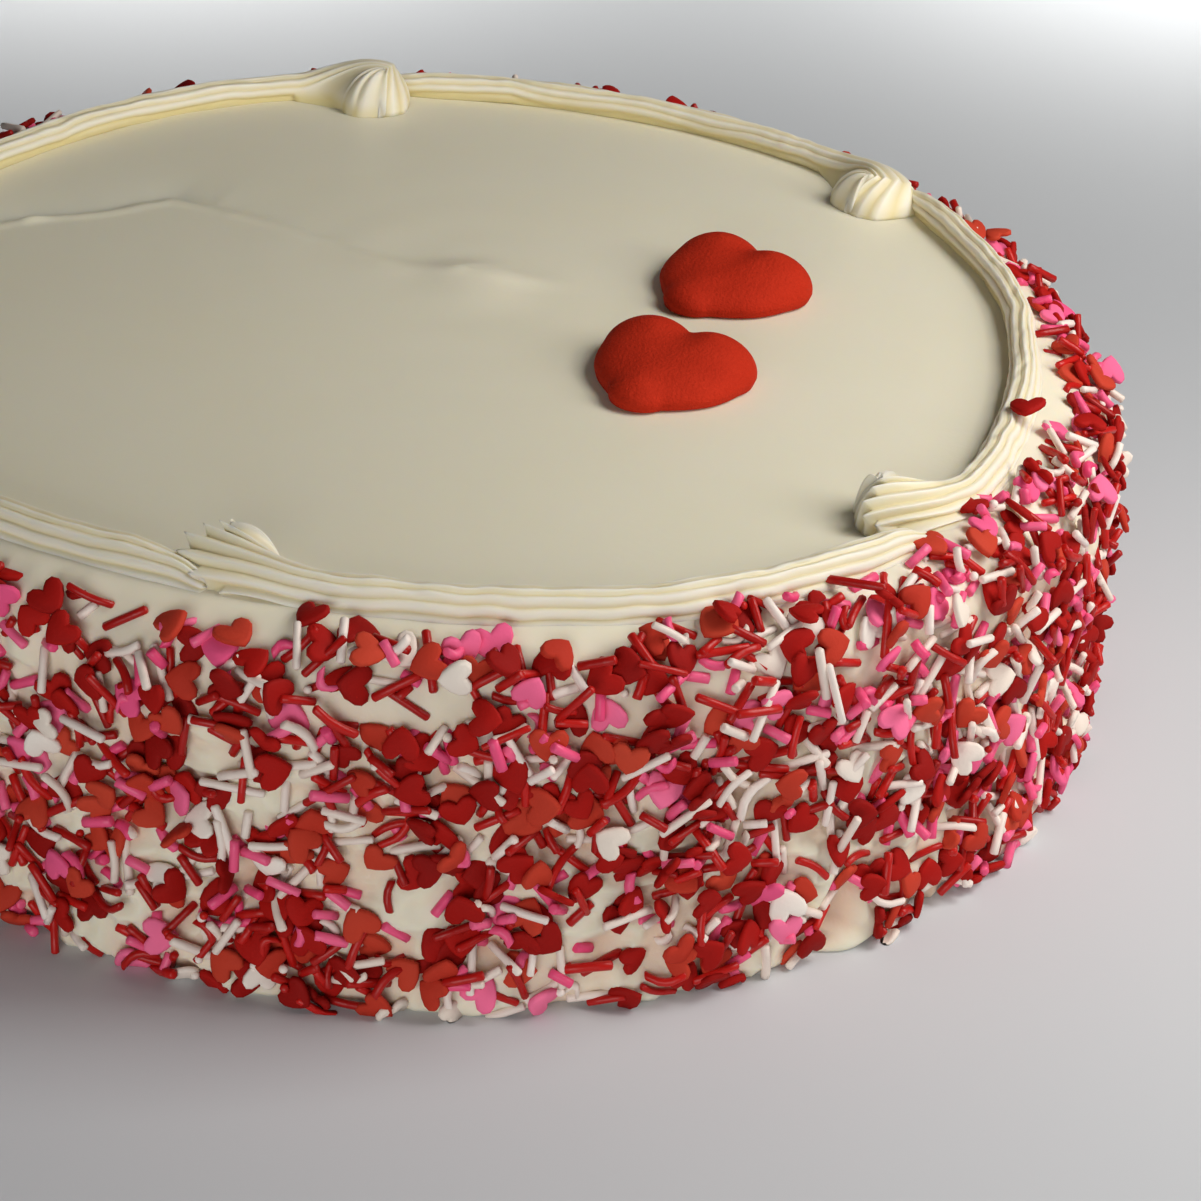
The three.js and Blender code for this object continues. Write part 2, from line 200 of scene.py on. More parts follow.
def weld_sheet(name: str, columns: int, rows: int, mapping: Mapping, weld: float = 1e-3) -> bpy.types.Mesh:
    """Makes a closed mesh from a flat grid that is rolled into its shape.

    Args:
        name: name of the mesh.
        columns: faces across, round the form.
        rows: faces along, from its start to its end.
        mapping: turns across and along, each from zero to one, to points in millimetres and
            the depth of the fold at each point, from zero to one.
        weld: distance in millimetres under which points join.

    Returns:
        The mesh in metres, seams and poles welded, faces pointing outwards.
    """
    bm, mesh, flat = open_sheet(name, columns, rows, 0.5)
    points, fold = mapping(flat[:, 0] + 0.5, flat[:, 1] + 0.5)
    mesh.vertices.foreach_set("co", points.ravel())
    mesh.attributes.new("fold", "FLOAT", "POINT").data.foreach_set("value", fold)
    bm.clear()
    bm.from_mesh(mesh)
    bmesh.ops.remove_doubles(bm, verts=bm.verts, dist=weld)
    bmesh.ops.dissolve_degenerate(bm, edges=bm.edges, dist=weld / 10)
    finish_mesh(bm, mesh)
    return mesh


def finish_mesh(bm: bmesh.types.BMesh, mesh: bpy.types.Mesh) -> None:
    """Points a form's faces outwards, makes them smooth, and writes it to a mesh in metres.

    Args:
        bm: the form in millimetres, which is freed.
        mesh: the mesh.
    """
    bmesh.ops.recalc_face_normals(bm, faces=bm.faces)
    bmesh.ops.scale(bm, vec=(MILLIMETRE,) * 3, verts=bm.verts)
    for face in bm.faces:
        face.smooth = True
    bm.to_mesh(mesh)
    bm.free()


def open_material(name: str) -> tuple[bpy.types.Material, bpy.types.NodeSocket]:
    """Starts a material.

    Args:
        name: what the real one is.

    Returns:
        The material and the socket with its Object coordinates.
    """
    made = bpy.data.materials.new(name)
    made.use_nodes = True
    place = add_node(made.node_tree, "ShaderNodeTexCoord")
    return made, place.outputs["Object"]


def close_material(
    made: bpy.types.Material, mix: bpy.types.Node, relief: bpy.types.Node, roughness: float, gloss: float
) -> bpy.types.Node:
    """Feeds a material's shader.

    Args:
        made: the material.
        mix: the node that mixes its colour, whose result is its output 2.
        relief: the node that gives its bump.
        roughness: the shader's roughness.
        gloss: the shader's specular level.

    Returns:
        The shader, for what one finish alone sets.
    """
    shader = made.node_tree.nodes["Principled BSDF"]
    made.node_tree.links.new(mix.outputs[2], shader.inputs["Base Color"])
    made.node_tree.links.new(relief.outputs[0], shader.inputs["Normal"])
    shader.inputs["Roughness"].default_value = roughness
    shader.inputs["Specular IOR Level"].default_value = gloss
    return shader


def add_piece(
    name: str, mesh: bpy.types.Mesh, material: bpy.types.Material, node: str
) -> bpy.types.Object:
    """Puts a finished mesh in the scene as a piece that rides on the cake.

    Args:
        name: the piece's name.
        mesh: its mesh in metres, in the frame of the solids.
        material: its finish.
        node: the solid that it stands for.

    Returns:
        The new object.
    """
    mesh.materials.append(material)
    piece = bpy.data.objects.new(name, mesh)
    bpy.context.scene.collection.objects.link(piece)
    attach(piece, ROOT)
    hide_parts(node)
    LOG.info("%s stands for %s with %d faces", name, node, len(mesh.polygons))
    return piece


@dataclass(frozen=True)
class WhippedIcing:
    """Cream cheese icing, beaten and spread: a soft satin fat with a warm light inside it."""

    name: str = "cream_cheese_icing"
    colour: str = "EFE9D3"
    # second colour: painted shade where the fold mask is high, and a faint random mottle everywhere
    shade: str = "E6DCB4"
    roughness: float = 0.42
    gloss: float = 0.35
    ior: float = 1.46
    inner_light: float = 0.35
    inner_colour: tuple[float, float, float] = (1.0, 0.75, 0.4)
    inner_depth_mm: float = 2.2
    mottle_mm: float = 22.0
    grain_mm: float = 1.4  # the whip's own bubbles are too fine to show, so they are drawn this coarse
    grain_depth_mm: float = 0.3
    bump: float = 0.12
    torn: float = 0.0

    def material(self) -> bpy.types.Material:
        """Mixes the icing.

        Returns:
            The icing, its folds tinted with painted shade, on the side with dye as well, faintly mottled
            and rougher where it is torn.
        """
        made, place = open_material(self.name)
        tree = made.node_tree
        fold = add_node(tree, "ShaderNodeAttribute", attribute_name="fold")
        patch = add_node(
            tree, "ShaderNodeTexNoise", {"Vector": place},
            in_Scale=1 / (self.mottle_mm * MILLIMETRE), in_Detail=3.0,
        )
        mottle = add_node(
            tree, "ShaderNodeMath", {0: patch.outputs["Fac"]},
            operation="MULTIPLY_ADD", in_1=0.3, in_2=-0.08,
        )
        amount = add_node(
            tree, "ShaderNodeMath", {0: mottle.outputs[0], 1: fold.outputs["Fac"]},
            operation="ADD", use_clamp=True,
        )
        # The fold mask mixes in the second colour as painted shade in grooves and hollows; the mottle adds
        # it faintly at random.
        mix = add_node(
            tree, "ShaderNodeMix", {"Factor": amount.outputs[0]},
            data_type="RGBA", in_6=linear(self.colour), in_7=linear(self.shade),
        )
        grain = add_node(
            tree, "ShaderNodeTexNoise", {"Vector": place},
            in_Scale=1 / (self.grain_mm * MILLIMETRE), in_Detail=4.0, in_Roughness=0.6,
        )
        tear = add_node(
            tree, "ShaderNodeMath", {0: fold.outputs["Fac"]},
            operation="MULTIPLY_ADD", in_1=self.torn, in_2=1.0,
        )
        height = add_node(
            tree, "ShaderNodeMath", {0: grain.outputs["Fac"], 1: tear.outputs[0]}, operation="MULTIPLY",
        )
        relief = add_node(
            tree, "ShaderNodeBump", {"Height": height.outputs[0]},
            in_Strength=self.bump, in_Distance=self.grain_depth_mm * MILLIMETRE,
        )
        shader = close_material(made, mix, relief, self.roughness, self.gloss)
        shader.inputs["IOR"].default_value = self.ior
        shader.inputs["Subsurface Weight"].default_value = self.inner_light
        shader.inputs["Subsurface Radius"].default_value = self.inner_colour
        shader.inputs["Subsurface Scale"].default_value = self.inner_depth_mm * MILLIMETRE
        return made


@dataclass(frozen=True)
class SugaredCandy:
    """Moulded fondant candy rolled in fine sugar: matt, with a sparkle of small grains."""

    name: str = "sugared_fondant"
    colour: str = "D63A22"
    deep: str = "B02814"
    roughness: float = 0.75
    gloss: float = 0.06
    patch_mm: float = 5.0
    grain_mm: float = 0.55  # caster sugar, drawn a little coarser than its 0.4 mm so that it shows
    grain_depth_mm: float = 0.3

    def material(self) -> bpy.types.Material:
        """Mixes the candy.

        Returns:
            The candy, in its matt grainy red.
        """
        made, place = open_material(self.name)
        tree = made.node_tree
        grain = add_node(
            tree, "ShaderNodeTexNoise", {"Vector": place},
            in_Scale=1 / (self.grain_mm * MILLIMETRE), in_Detail=3.0, in_Roughness=0.7,
        )
        patch = add_node(
            tree, "ShaderNodeTexNoise", {"Vector": place},
            in_Scale=1 / (self.patch_mm * MILLIMETRE), in_Detail=2.0,
        )
        blend = add_node(
            tree, "ShaderNodeMath", {0: grain.outputs["Fac"], 1: patch.outputs["Fac"]},
            operation="MULTIPLY",
        )
        mix = add_node(
            tree, "ShaderNodeMix", {"Factor": blend.outputs[0]},
            data_type="RGBA", in_6=linear(self.deep), in_7=linear(self.colour),
        )
        relief = add_node(
            tree, "ShaderNodeBump", {"Height": grain.outputs["Fac"]},
            in_Strength=0.9, in_Distance=self.grain_depth_mm * MILLIMETRE,
        )
        close_material(made, mix, relief, self.roughness, self.gloss)
        return made


@dataclass(frozen=True)
class PressedSugar:
    """Pressed icing sugar, dyed: chalky and matt on hearts, with a thin glaze on strands."""

    name: str
    colour: str
    second: str
    roughness: float
    gloss: float = 0.12
    grain_mm: float = 0.5  # icing sugar is far finer, so it is drawn this coarse to show
    grain_depth_mm: float = 0.15

    def material(self) -> bpy.types.Material:
        """Dyes the sugar.

        Returns:
            Sugar whose tone changes a little from piece to piece.
        """
        made, place = open_material(self.name)
        tree = made.node_tree
        tone = add_node(tree, "ShaderNodeAttribute", attribute_name="tone")
        mix = add_node(
            tree, "ShaderNodeMix", {"Factor": tone.outputs["Fac"]},
            data_type="RGBA", in_6=linear(self.colour), in_7=linear(self.second),
        )
        grain = add_node(
            tree, "ShaderNodeTexNoise", {"Vector": place},
            in_Scale=1 / (self.grain_mm * MILLIMETRE), in_Detail=2.0,
        )
        relief = add_node(
            tree, "ShaderNodeBump", {"Height": grain.outputs["Fac"]},
            in_Strength=0.3, in_Distance=self.grain_depth_mm * MILLIMETRE,
        )
        close_material(made, mix, relief, self.roughness, self.gloss)
        return made


SUGARS = {
    "hearts_red": PressedSugar("pressed_sugar_red", "B21711", "8E100C", 0.7),
    "hearts_scarlet": PressedSugar("pressed_sugar_scarlet", "BC3424", "CA4630", 0.7),
    "hearts_pink": PressedSugar("pressed_sugar_pink", "F2588A", "FA7AA2", 0.7),
    "hearts_white": PressedSugar("pressed_sugar_white", "F8EEE4", "F0E2D4", 0.7),
    "strands_red": PressedSugar("glazed_strand_red", "C81C16", "A61410", 0.35, 0.3),
    "strands_pink": PressedSugar("glazed_strand_pink", "FA6A94", "F04A7C", 0.38, 0.3),
    "strands_white": PressedSugar("glazed_strand_white", "F6E9E0", "EEDDD0", 0.38, 0.3),
    "dots_red": PressedSugar("sugar_dot_red", "D01C12", "B4140F", 0.4, 0.3),
    "dots_white": PressedSugar("sugar_dot_white", "F8ECE4", "F0E0D2", 0.4, 0.3),
}


@dataclass
class IcedCake:
    """The iced body: flat top, rounded shoulder and a side of pulled icing.

    Its crease is a line of places on the top, with its strength by the distance along it. A mound
    is its place from the peak, its two half widths and its rise, and a bare dab on the side is its
    degrees, height, rise and radius. The top's faces crowd round a middle, with a width, across and
    along, in shares of the radius.
    """

    path: BorderPath
    top_height: float
    base_radius: float = 113.0
    side_height: float = 45.0
    side_taper: float = 2.8
    taper_height: float = 26.0
    foot_tuck: float = 0.9
    lump_depth: float = 1.0
    pull_height: float = 5.5
    pull_depth: float = 1.25
    crumb_height: float = 2.6
    crumb_depth: float = 0.55
    sunk: float = 0.7
    smoothed: float = 14.0
    shoulder_arc: float = 16.0
    shoulder_start: float = 0.6
    shoulder_lip: float = 0.7
    shoulder_waver: float = 0.3
    # the hollows up to this height take the pink of painted shade, red bounce light and dye bleed
    dye_and_shade_to: float = 50.0
    side_faces: tuple[int, int] = (720, 116)
    top_faces: int = 290
    top_plate: float = 1.6
    crowded: tuple[tuple[float, float], ...] = ((-0.55, 0.4), (0.28, 0.25))
    peak: tuple[float, float] = (2.0, 16.3)
    mounds: tuple[tuple[float, float, float, float, float], ...] = (
        (6.0, -7.0, 9.0, 8.0, 0.35), (8.0, -1.6, 7.0, 3.0, 0.4), (-9.0, -0.6, 8.0, 3.4, 0.35),
    )
    crease: tuple[tuple[float, float], ...] = (
        (-101.0, 6.0), (-90.0, 12.5), (-78.9, 19.6), (-70.0, 25.9), (-60.6, 31.4), (-52.9, 37.5),
        (-41.8, 34.7), (-28.6, 28.4), (-13.7, 20.1), (-2.0, 16.5),
    )
    crease_strength: tuple[tuple[float, float], ...] = (
        (8, 0.7), (24, 1.0), (58, 0.9), (66, 0.28), (90, 0.16), (130, 0.1),
    )
    dabs: tuple[tuple[float, float, float, float], ...] = (
        (-115.8, 44.5, 1.5, 3.6), (-101.0, 38.5, 1.3, 3.4), (-52.5, 3.6, 0.35, 4.6),
        (-70.0, 12.0, 0.9, 3.0), (-30.0, 33.0, 1.0, 3.2), (150.0, 30.0, 1.2, 3.8), (60.0, 20.0, 1.0, 3.6),
    )
    pulled: SmoothNoise = field(default_factory=lambda: SmoothNoise(SEED, 92))
    crumbs: SmoothNoise = field(default_factory=lambda: SmoothNoise(SEED + 1, 230, 128))
    ripples: SmoothNoise = field(default_factory=lambda: SmoothNoise(SEED + 2, 46))

    def lumps(self, angle: Array, height: Array) -> Array:
        """Works out the broad lumps of the side, the same as in the solid.

        Args:
            angle: angles round the axis, in radians.
            height: heights over the base, in millimetres.

        Returns:
            How far they stand off the smooth side, in millimetres.
        """
        broad = np.sin(17 * angle + 1.9 * np.sin(0.14 * height + 3 * angle))
        cross = np.cos(0.26 * height + 2.4 * np.sin(5 * angle + 0.8))
        fine = np.sin(29 * angle - 0.23 * height + 1.7 * np.cos(7 * angle))
        return self.lump_depth * (0.75 * broad * cross + 0.55 * fine)

    def relief(self, angle: Array, height: Array) -> Array:
        """Works out the pulled icing of the side: lumps, ridges, crumbs and bare dabs.

        Args:
            angle: angles round the axis, in radians.
            height: heights over the base, in millimetres.

        Returns:
            How far it stands off the smooth side, in millimetres.
        """
        turn = angle / math.tau
        swept = self.pulled(turn + 0.004 * np.sin(0.2 * height), height / self.pull_height + 20)
        ridge = 1 - np.abs(swept) * 1.9
        fine = 1 - np.abs(self.crumbs(turn, height / self.crumb_height + 30)) * 1.7
        fade = np.clip((self.side_height + 4 - height) / self.smoothed, 0, 1)
        curl = 1 + 0.3 * np.sin(1.9 * height + 60 * angle)
        lifted = sum(dab[2] * np.exp(-self.from_dab(angle, height, dab)) for dab in self.dabs)
        rough = self.lumps(angle, height) + self.pull_depth * ridge + self.crumb_depth * fine - self.sunk
        return rough * fade + lifted * curl

    def from_dab(self, angle: Array, height: Array, dab: tuple[float, float, float, float]) -> Array:
        """Measures from one bare dab of icing.

        Args:
            angle: angles round the axis, in radians.
            height: heights over the base, in millimetres.
            dab: its degrees, height, rise and radius.

        Returns:
            Squared distances, in the dab's own radii.
        """
        degrees, middle, _, radius = dab
        across = ((angle - math.radians(degrees) + math.pi) % math.tau - math.pi) * self.base_radius
        return (across / radius) ** 2 + ((height - middle) / radius) ** 2

    def side_radius(self, height: Array) -> Array:
        """Shapes the smooth side, which tapers a little and tucks in at its foot.

        Args:
            height: heights over the base, in millimetres.

        Returns:
            Distances from the axis, in millimetres.
        """
        foot = self.foot_tuck * np.maximum(0, 1 - height / 4) ** 2
        climb = np.sin(np.minimum(height / self.taper_height, 1) * math.pi / 2)
        return self.base_radius - self.side_taper * climb**2 - foot

    def surface(self, angle: Array, distance: Array, rough: float = 1.0) -> Array:
        """Places points on the side and the shoulder.

        Args:
            angle: angles round the axis, in radians.
            distance: distances up the side and on over the shoulder, in millimetres.
            rough: share of the pulled icing's relief.

        Returns:
            One row of x, y and z for each point.
        """
        bend = np.clip((distance - self.side_height) / self.shoulder_arc, 0, 1) * math.pi / 2
        height = np.minimum(distance, self.side_height)
        outer = self.side_radius(height) + rough * self.relief(angle, height)
        inner = self.path.reach(angle) + self.shoulder_start
        soft = self.shoulder_waver * self.ripples(angle / math.tau, distance / 7) * np.sin(2 * bend)
        radius = inner + (outer - inner) * np.cos(bend) + soft
        height = height + (self.top_height + self.shoulder_lip - self.side_height) * np.sin(bend)
        return np.stack([radius * np.cos(angle), radius * np.sin(angle), height], -1)

    def top_relief(self, x: Array, y: Array) -> Array:
        """Works out the top's peak, spatula swirl and crease.

        Args:
            x: places across, in millimetres.
            y: places towards the back, in millimetres.

        Returns:
            How far each place stands over the flat top, in millimetres.
        """
        dx, dy = x - self.peak[0], y - self.peak[1]
        away = np.hypot(dx, dy)
        steep = 6.4 + 2.0 * (0.45 * dx - 0.89 * dy) / np.maximum(away, 0.5)
        peak = 1.25 * np.exp(-((away / steep) ** 2))
        for right, back, wide, deep, rise in self.mounds:
            peak = peak + rise * np.exp(-(((dx - right) / wide) ** 2) - ((dy - back) / deep) ** 2)
        swirl = 0.07 * np.sin(away / 2.4 + 2 * np.arctan2(dy, dx)) * np.exp(-away / 24)
        wide = 0.12 * np.sin(0.05 * x + 1.1) * np.sin(0.06 * y - 0.4)
        off, along = self.off_crease(x, y)
        turn = along / 400
        strength = np.interp(along, *np.transpose(self.crease_strength))
        strength = strength * (1 + 0.45 * self.ripples(turn * 1.3, 3.5))
        line = off - 1.0 * self.ripples(turn * 1.2, 7.5) - 0.4 * self.ripples(turn * 2.7, 9.5)
        crease = -1.5 * np.exp(-np.maximum(line, 0) / 7) / (1 + np.exp(-line / 0.6))
        ridgelet = np.maximum(0, self.ripples(turn * 1.7, 15.5)) + 0.3
        crease = crease + 0.9 * ridgelet * np.exp(-(((line + 2.4) / 1.4) ** 2))
        return peak + swirl + wide + strength * crease

    def off_crease(self, x: Array, y: Array) -> tuple[Array, Array]:
        """Measures from the crease.

        Args:
            x: places across, in millimetres.
            y: places towards the back, in millimetres.

        Returns:
            Each place's signed distance from the crease and how far along it that is.
        """
        nearest = np.full(x.shape, 1e9)
        off, along = np.zeros(x.shape), np.zeros(x.shape)
        walked = 0.0
        for (x0, y0), (x1, y1) in zip(self.crease, self.crease[1:]):
            length = math.hypot(x1 - x0, y1 - y0)
            ux, uy = (x1 - x0) / length, (y1 - y0) / length
            step = np.clip((x - x0) * ux + (y - y0) * uy, 0, length)
            gap_x, gap_y = x - x0 - step * ux, y - y0 - step * uy
            gap = np.hypot(gap_x, gap_y)
            side = np.sign(ux * gap_y - uy * gap_x)
            closer = gap < nearest
            nearest = np.where(closer, gap, nearest)
            off = np.where(closer, gap * side, off)
            along = np.where(closer, walked + step, along)
            walked += length
        return off, along

    def side_mapping(self, across: Array, along: Array) -> tuple[Array, Array]:
        """Rolls the flat grid into the base, the side and the shoulder, and closes it inside.

        Args:
            across: places round the form, from zero to one.
            along: places from its start to its end, from zero to one.

        Returns:
            The points in millimetres and the depth of the fold at each, from zero to one, which tints the
            hollows with painted shade and dye.
        """
        angle = across * math.tau
        foot, crown, under = 0.03, 0.94, 0.97
        reach_up = self.side_height + self.shoulder_arc
        climb = np.interp(along, [foot, crown], [0, reach_up])
        points = self.surface(angle, climb)
        points[:, :2] *= np.interp(along, [0, foot, crown, under, 1], [0, 1, 1, 0.96, 0])[:, None]
        points[:, 2] -= np.interp(along, [crown, under, 1], [0, 2.0, 3.0])
        # Painted shade, red light thrown back by the sprinkles and dye bleed: the side's hollows below the
        # coat's top take the pink second colour.
        fold = np.clip(0.3 - 0.25 * self.relief(angle, climb), 0, 0.7)
        return points, fold * np.clip((self.dye_and_shade_to - climb) / 6, 0, 1)

    def build_side(self, material: bpy.types.Material) -> bpy.types.Object:
        """Makes the base, side and shoulder as one closed piece.

        Args:
            material: the icing's finish.

        Returns:
            The piece that stands for the iced body together with its top and its coat.
        """
        mesh = weld_sheet("icing_side", *self.side_faces, self.side_mapping)
        return add_piece("icing_side", mesh, material, "iced_cake")

    def build_top(self, material: bpy.types.Material) -> bpy.types.Object:
        """Makes the smooth top as a closed plate, finest where its crease runs.

        Args:
            material: the icing's finish.

        Returns:
            The piece that stands for the iced body together with its side and its coat.
        """
        bm, mesh, flat = open_sheet("icing_top", self.top_faces, self.top_faces, 1.0)
        across, along = (self.crowd(flat[:, k], *self.crowded[k]) for k in (0, 1))
        disc_x = across * np.sqrt(1 - along**2 / 2)
        disc_y = along * np.sqrt(1 - across**2 / 2)
        reach = self.path.reach(np.arctan2(disc_y, disc_x)) + 0.4
        x, y = disc_x * reach, disc_y * reach
        z = self.top_height + self.top_relief(x, y)
        mesh.vertices.foreach_set("co", np.stack([x, y, z], -1).ravel())
        bm.clear()
        bm.from_mesh(mesh)
        rim = [e for e in bm.edges if e.is_boundary]
        wall = bmesh.ops.extrude_edge_only(bm, edges=rim)["geom"]
        for vert in [g for g in wall if isinstance(g, bmesh.types.BMVert)]:
            vert.co.z = self.top_height - self.top_plate
        bmesh.ops.holes_fill(bm, edges=[e for e in bm.edges if e.is_boundary], sides=0)
        finish_mesh(bm, mesh)
        return add_piece("icing_top", mesh, material, "iced_cake")

    @staticmethod
    def crowd(values: Array, middle: float, width: float) -> Array:
        """Moves evenly spaced values so that they crowd round a middle.

        Args:
            values: values from minus one to one.
            middle: where they crowd.
            width: how widely they crowd there.

        Returns:
            The moved values, with the ends kept.
        """
        even = np.linspace(-1, 1, 801)
        density = 1 + 1.8 * np.exp(-(((even - middle) / width) ** 2))
        total = np.concatenate([[0], np.cumsum((density[1:] + density[:-1]) / 2)])
        return np.interp((values + 1) / 2, total / total[-1], even)


@dataclass(frozen=True)
class Ridge:
    """One ridge of a shell, in millimetres from the start of its run: ahead, inward, rise."""

    tip: tuple[float, float, float]
    foot: tuple[float, float, float]
    end: tuple[float, float, float] = (6.4, 6.2, 0.0)


@dataclass(frozen=True)
class Shell:
    """How the hand set down one shell: where, how wide, how high and how curled."""

    degrees: float
    spread: float
    rise: float
    curl: float
    ridges: tuple[Ridge, ...]


CLAWED = (
    Ridge((2.0, 0.5, 0.0), (1.5, 0.5, 0.0)),
    Ridge((2.0, -0.6, 0.0), (1.5, -0.4, 0.0)),
    Ridge((2.0, -1.6, 0.0), (1.5, -1.2, 0.0)),
    Ridge((0.2, -2.4, 1.0), (0.0, -2.0, 0.0)),
    Ridge((-4.6, -1.8, 2.6), (-3.6, -1.4, 0.0)),
    Ridge((-7.8, 1.4, 3.9), (-6.4, 1.4, 0.0)),
    Ridge((-8.3, 4.8, 5.0), (-6.8, 4.6, 0.0)),
    Ridge((-6.3, 6.6, 5.9), (-5.4, 7.4, 0.0)),
    Ridge((-4.0, 7.0, 6.6), (-2.8, 9.2, 0.0)),
    Ridge((-1.6, 6.9, 6.8), (-1.4, 8.8, 0.0), (6.5, 6.4, 0.0)),
    Ridge((-1.5, 7.0, 6.7), (-1.0, 8.4, 0.0), (5.4, 7.9, 0.0)),
    Ridge((-1.8, 7.1, 6.5), (-0.6, 8.0, 0.0), (2.8, 9.2, 0.0)),
    Ridge((-2.2, 7.1, 6.3), (-0.4, 7.6, 0.0), (-2.6, 9.2, 0.0)),
)
WRAPPED = (
    Ridge((2.0, 0.5, 0.0), (1.5, 0.5, 0.0)),
    Ridge((2.0, -0.6, 0.0), (1.5, -0.4, 0.0)),
    Ridge((1.6, -1.6, 0.0), (1.2, -1.2, 0.0)),
    Ridge((-3.4, 1.4, 0.9), (-3.0, 1.2, 0.0)),
    Ridge((-6.8, 4.3, 2.1), (-6.0, 3.8, 0.0)),
    Ridge((-8.2, 5.3, 3.5), (-7.0, 5.2, 0.0)),
    Ridge((-7.2, 5.9, 5.2), (-6.4, 6.6, 0.0)),
    Ridge((-4.2, 6.2, 6.4), (-4.8, 7.8, 0.0)),
    Ridge((-2.0, 6.3, 7.0), (-2.4, 9.2, 0.0)),
    Ridge((-0.8, 6.4, 7.0), (-1.4, 8.8, 0.0), (6.5, 6.4, 0.0)),
    Ridge((-0.8, 6.5, 6.9), (-1.0, 8.4, 0.0), (5.4, 7.9, 0.0)),
    Ridge((-1.1, 6.6, 6.7), (-0.6, 8.0, 0.0), (2.8, 9.2, 0.0)),
    Ridge((-1.5, 6.6, 6.5), (-0.4, 7.6, 0.0), (-2.6, 9.2, 0.0)),
)
ROUNDED = (
    Ridge((2.0, 0.5, 0.0), (1.5, 0.5, 0.0)),
    Ridge((2.0, -0.6, 0.0), (1.5, -0.4, 0.0)),
    Ridge((2.0, -1.6, 0.0), (1.5, -1.4, 0.0)),
    Ridge((0.2, -2.2, 1.0), (-2.6, -2.6, 0.0)),
    Ridge((-3.6, -1.4, 3.0), (-7.4, -0.8, 0.0)),
    Ridge((-5.4, 1.0, 4.9), (-8.7, 3.2, 0.0)),
    Ridge((-5.2, 3.2, 6.0), (-7.4, 6.8, 0.0)),
    Ridge((-4.4, 4.8, 6.6), (-4.4, 9.0, 0.0)),
    Ridge((-3.4, 5.6, 6.8), (-1.0, 9.8, 0.0)),
    Ridge((-2.6, 6.0, 6.9), (-0.8, 9.0, 0.0), (6.4, 6.0, 0.0)),
    Ridge((-2.4, 6.2, 6.9), (-0.6, 8.4, 0.0), (5.4, 7.9, 0.0)),
    Ridge((-2.5, 6.3, 6.8), (-0.4, 8.0, 0.0), (2.4, 9.6, 0.0)),
    Ridge((-2.8, 6.3, 6.6), (-0.4, 7.6, 0.0), (-2.6, 9.0, 0.0)),
)


SHELLS = (
    Shell(-102.4, 7.0, 1.0, 1.0, CLAWED),
    Shell(-39.7, 10.0, 1.0, 0.8, WRAPPED),
    Shell(42.0, 10.5, 1.05, 0.0, ROUNDED),
    Shell(104.8, 11.3, 1.22, 0.0, ROUNDED),
    Shell(181.7, 9.0, 1.0, 0.6, WRAPPED),
)


@dataclass(frozen=True)
class Teeth:
    """What the nozzle's teeth leave at each point of a run, as shares from zero to one."""

    fan: Array
    calm: Array
    ropy: Array
    wave: Array
    blade: Array
    line: Array
    fine: Array


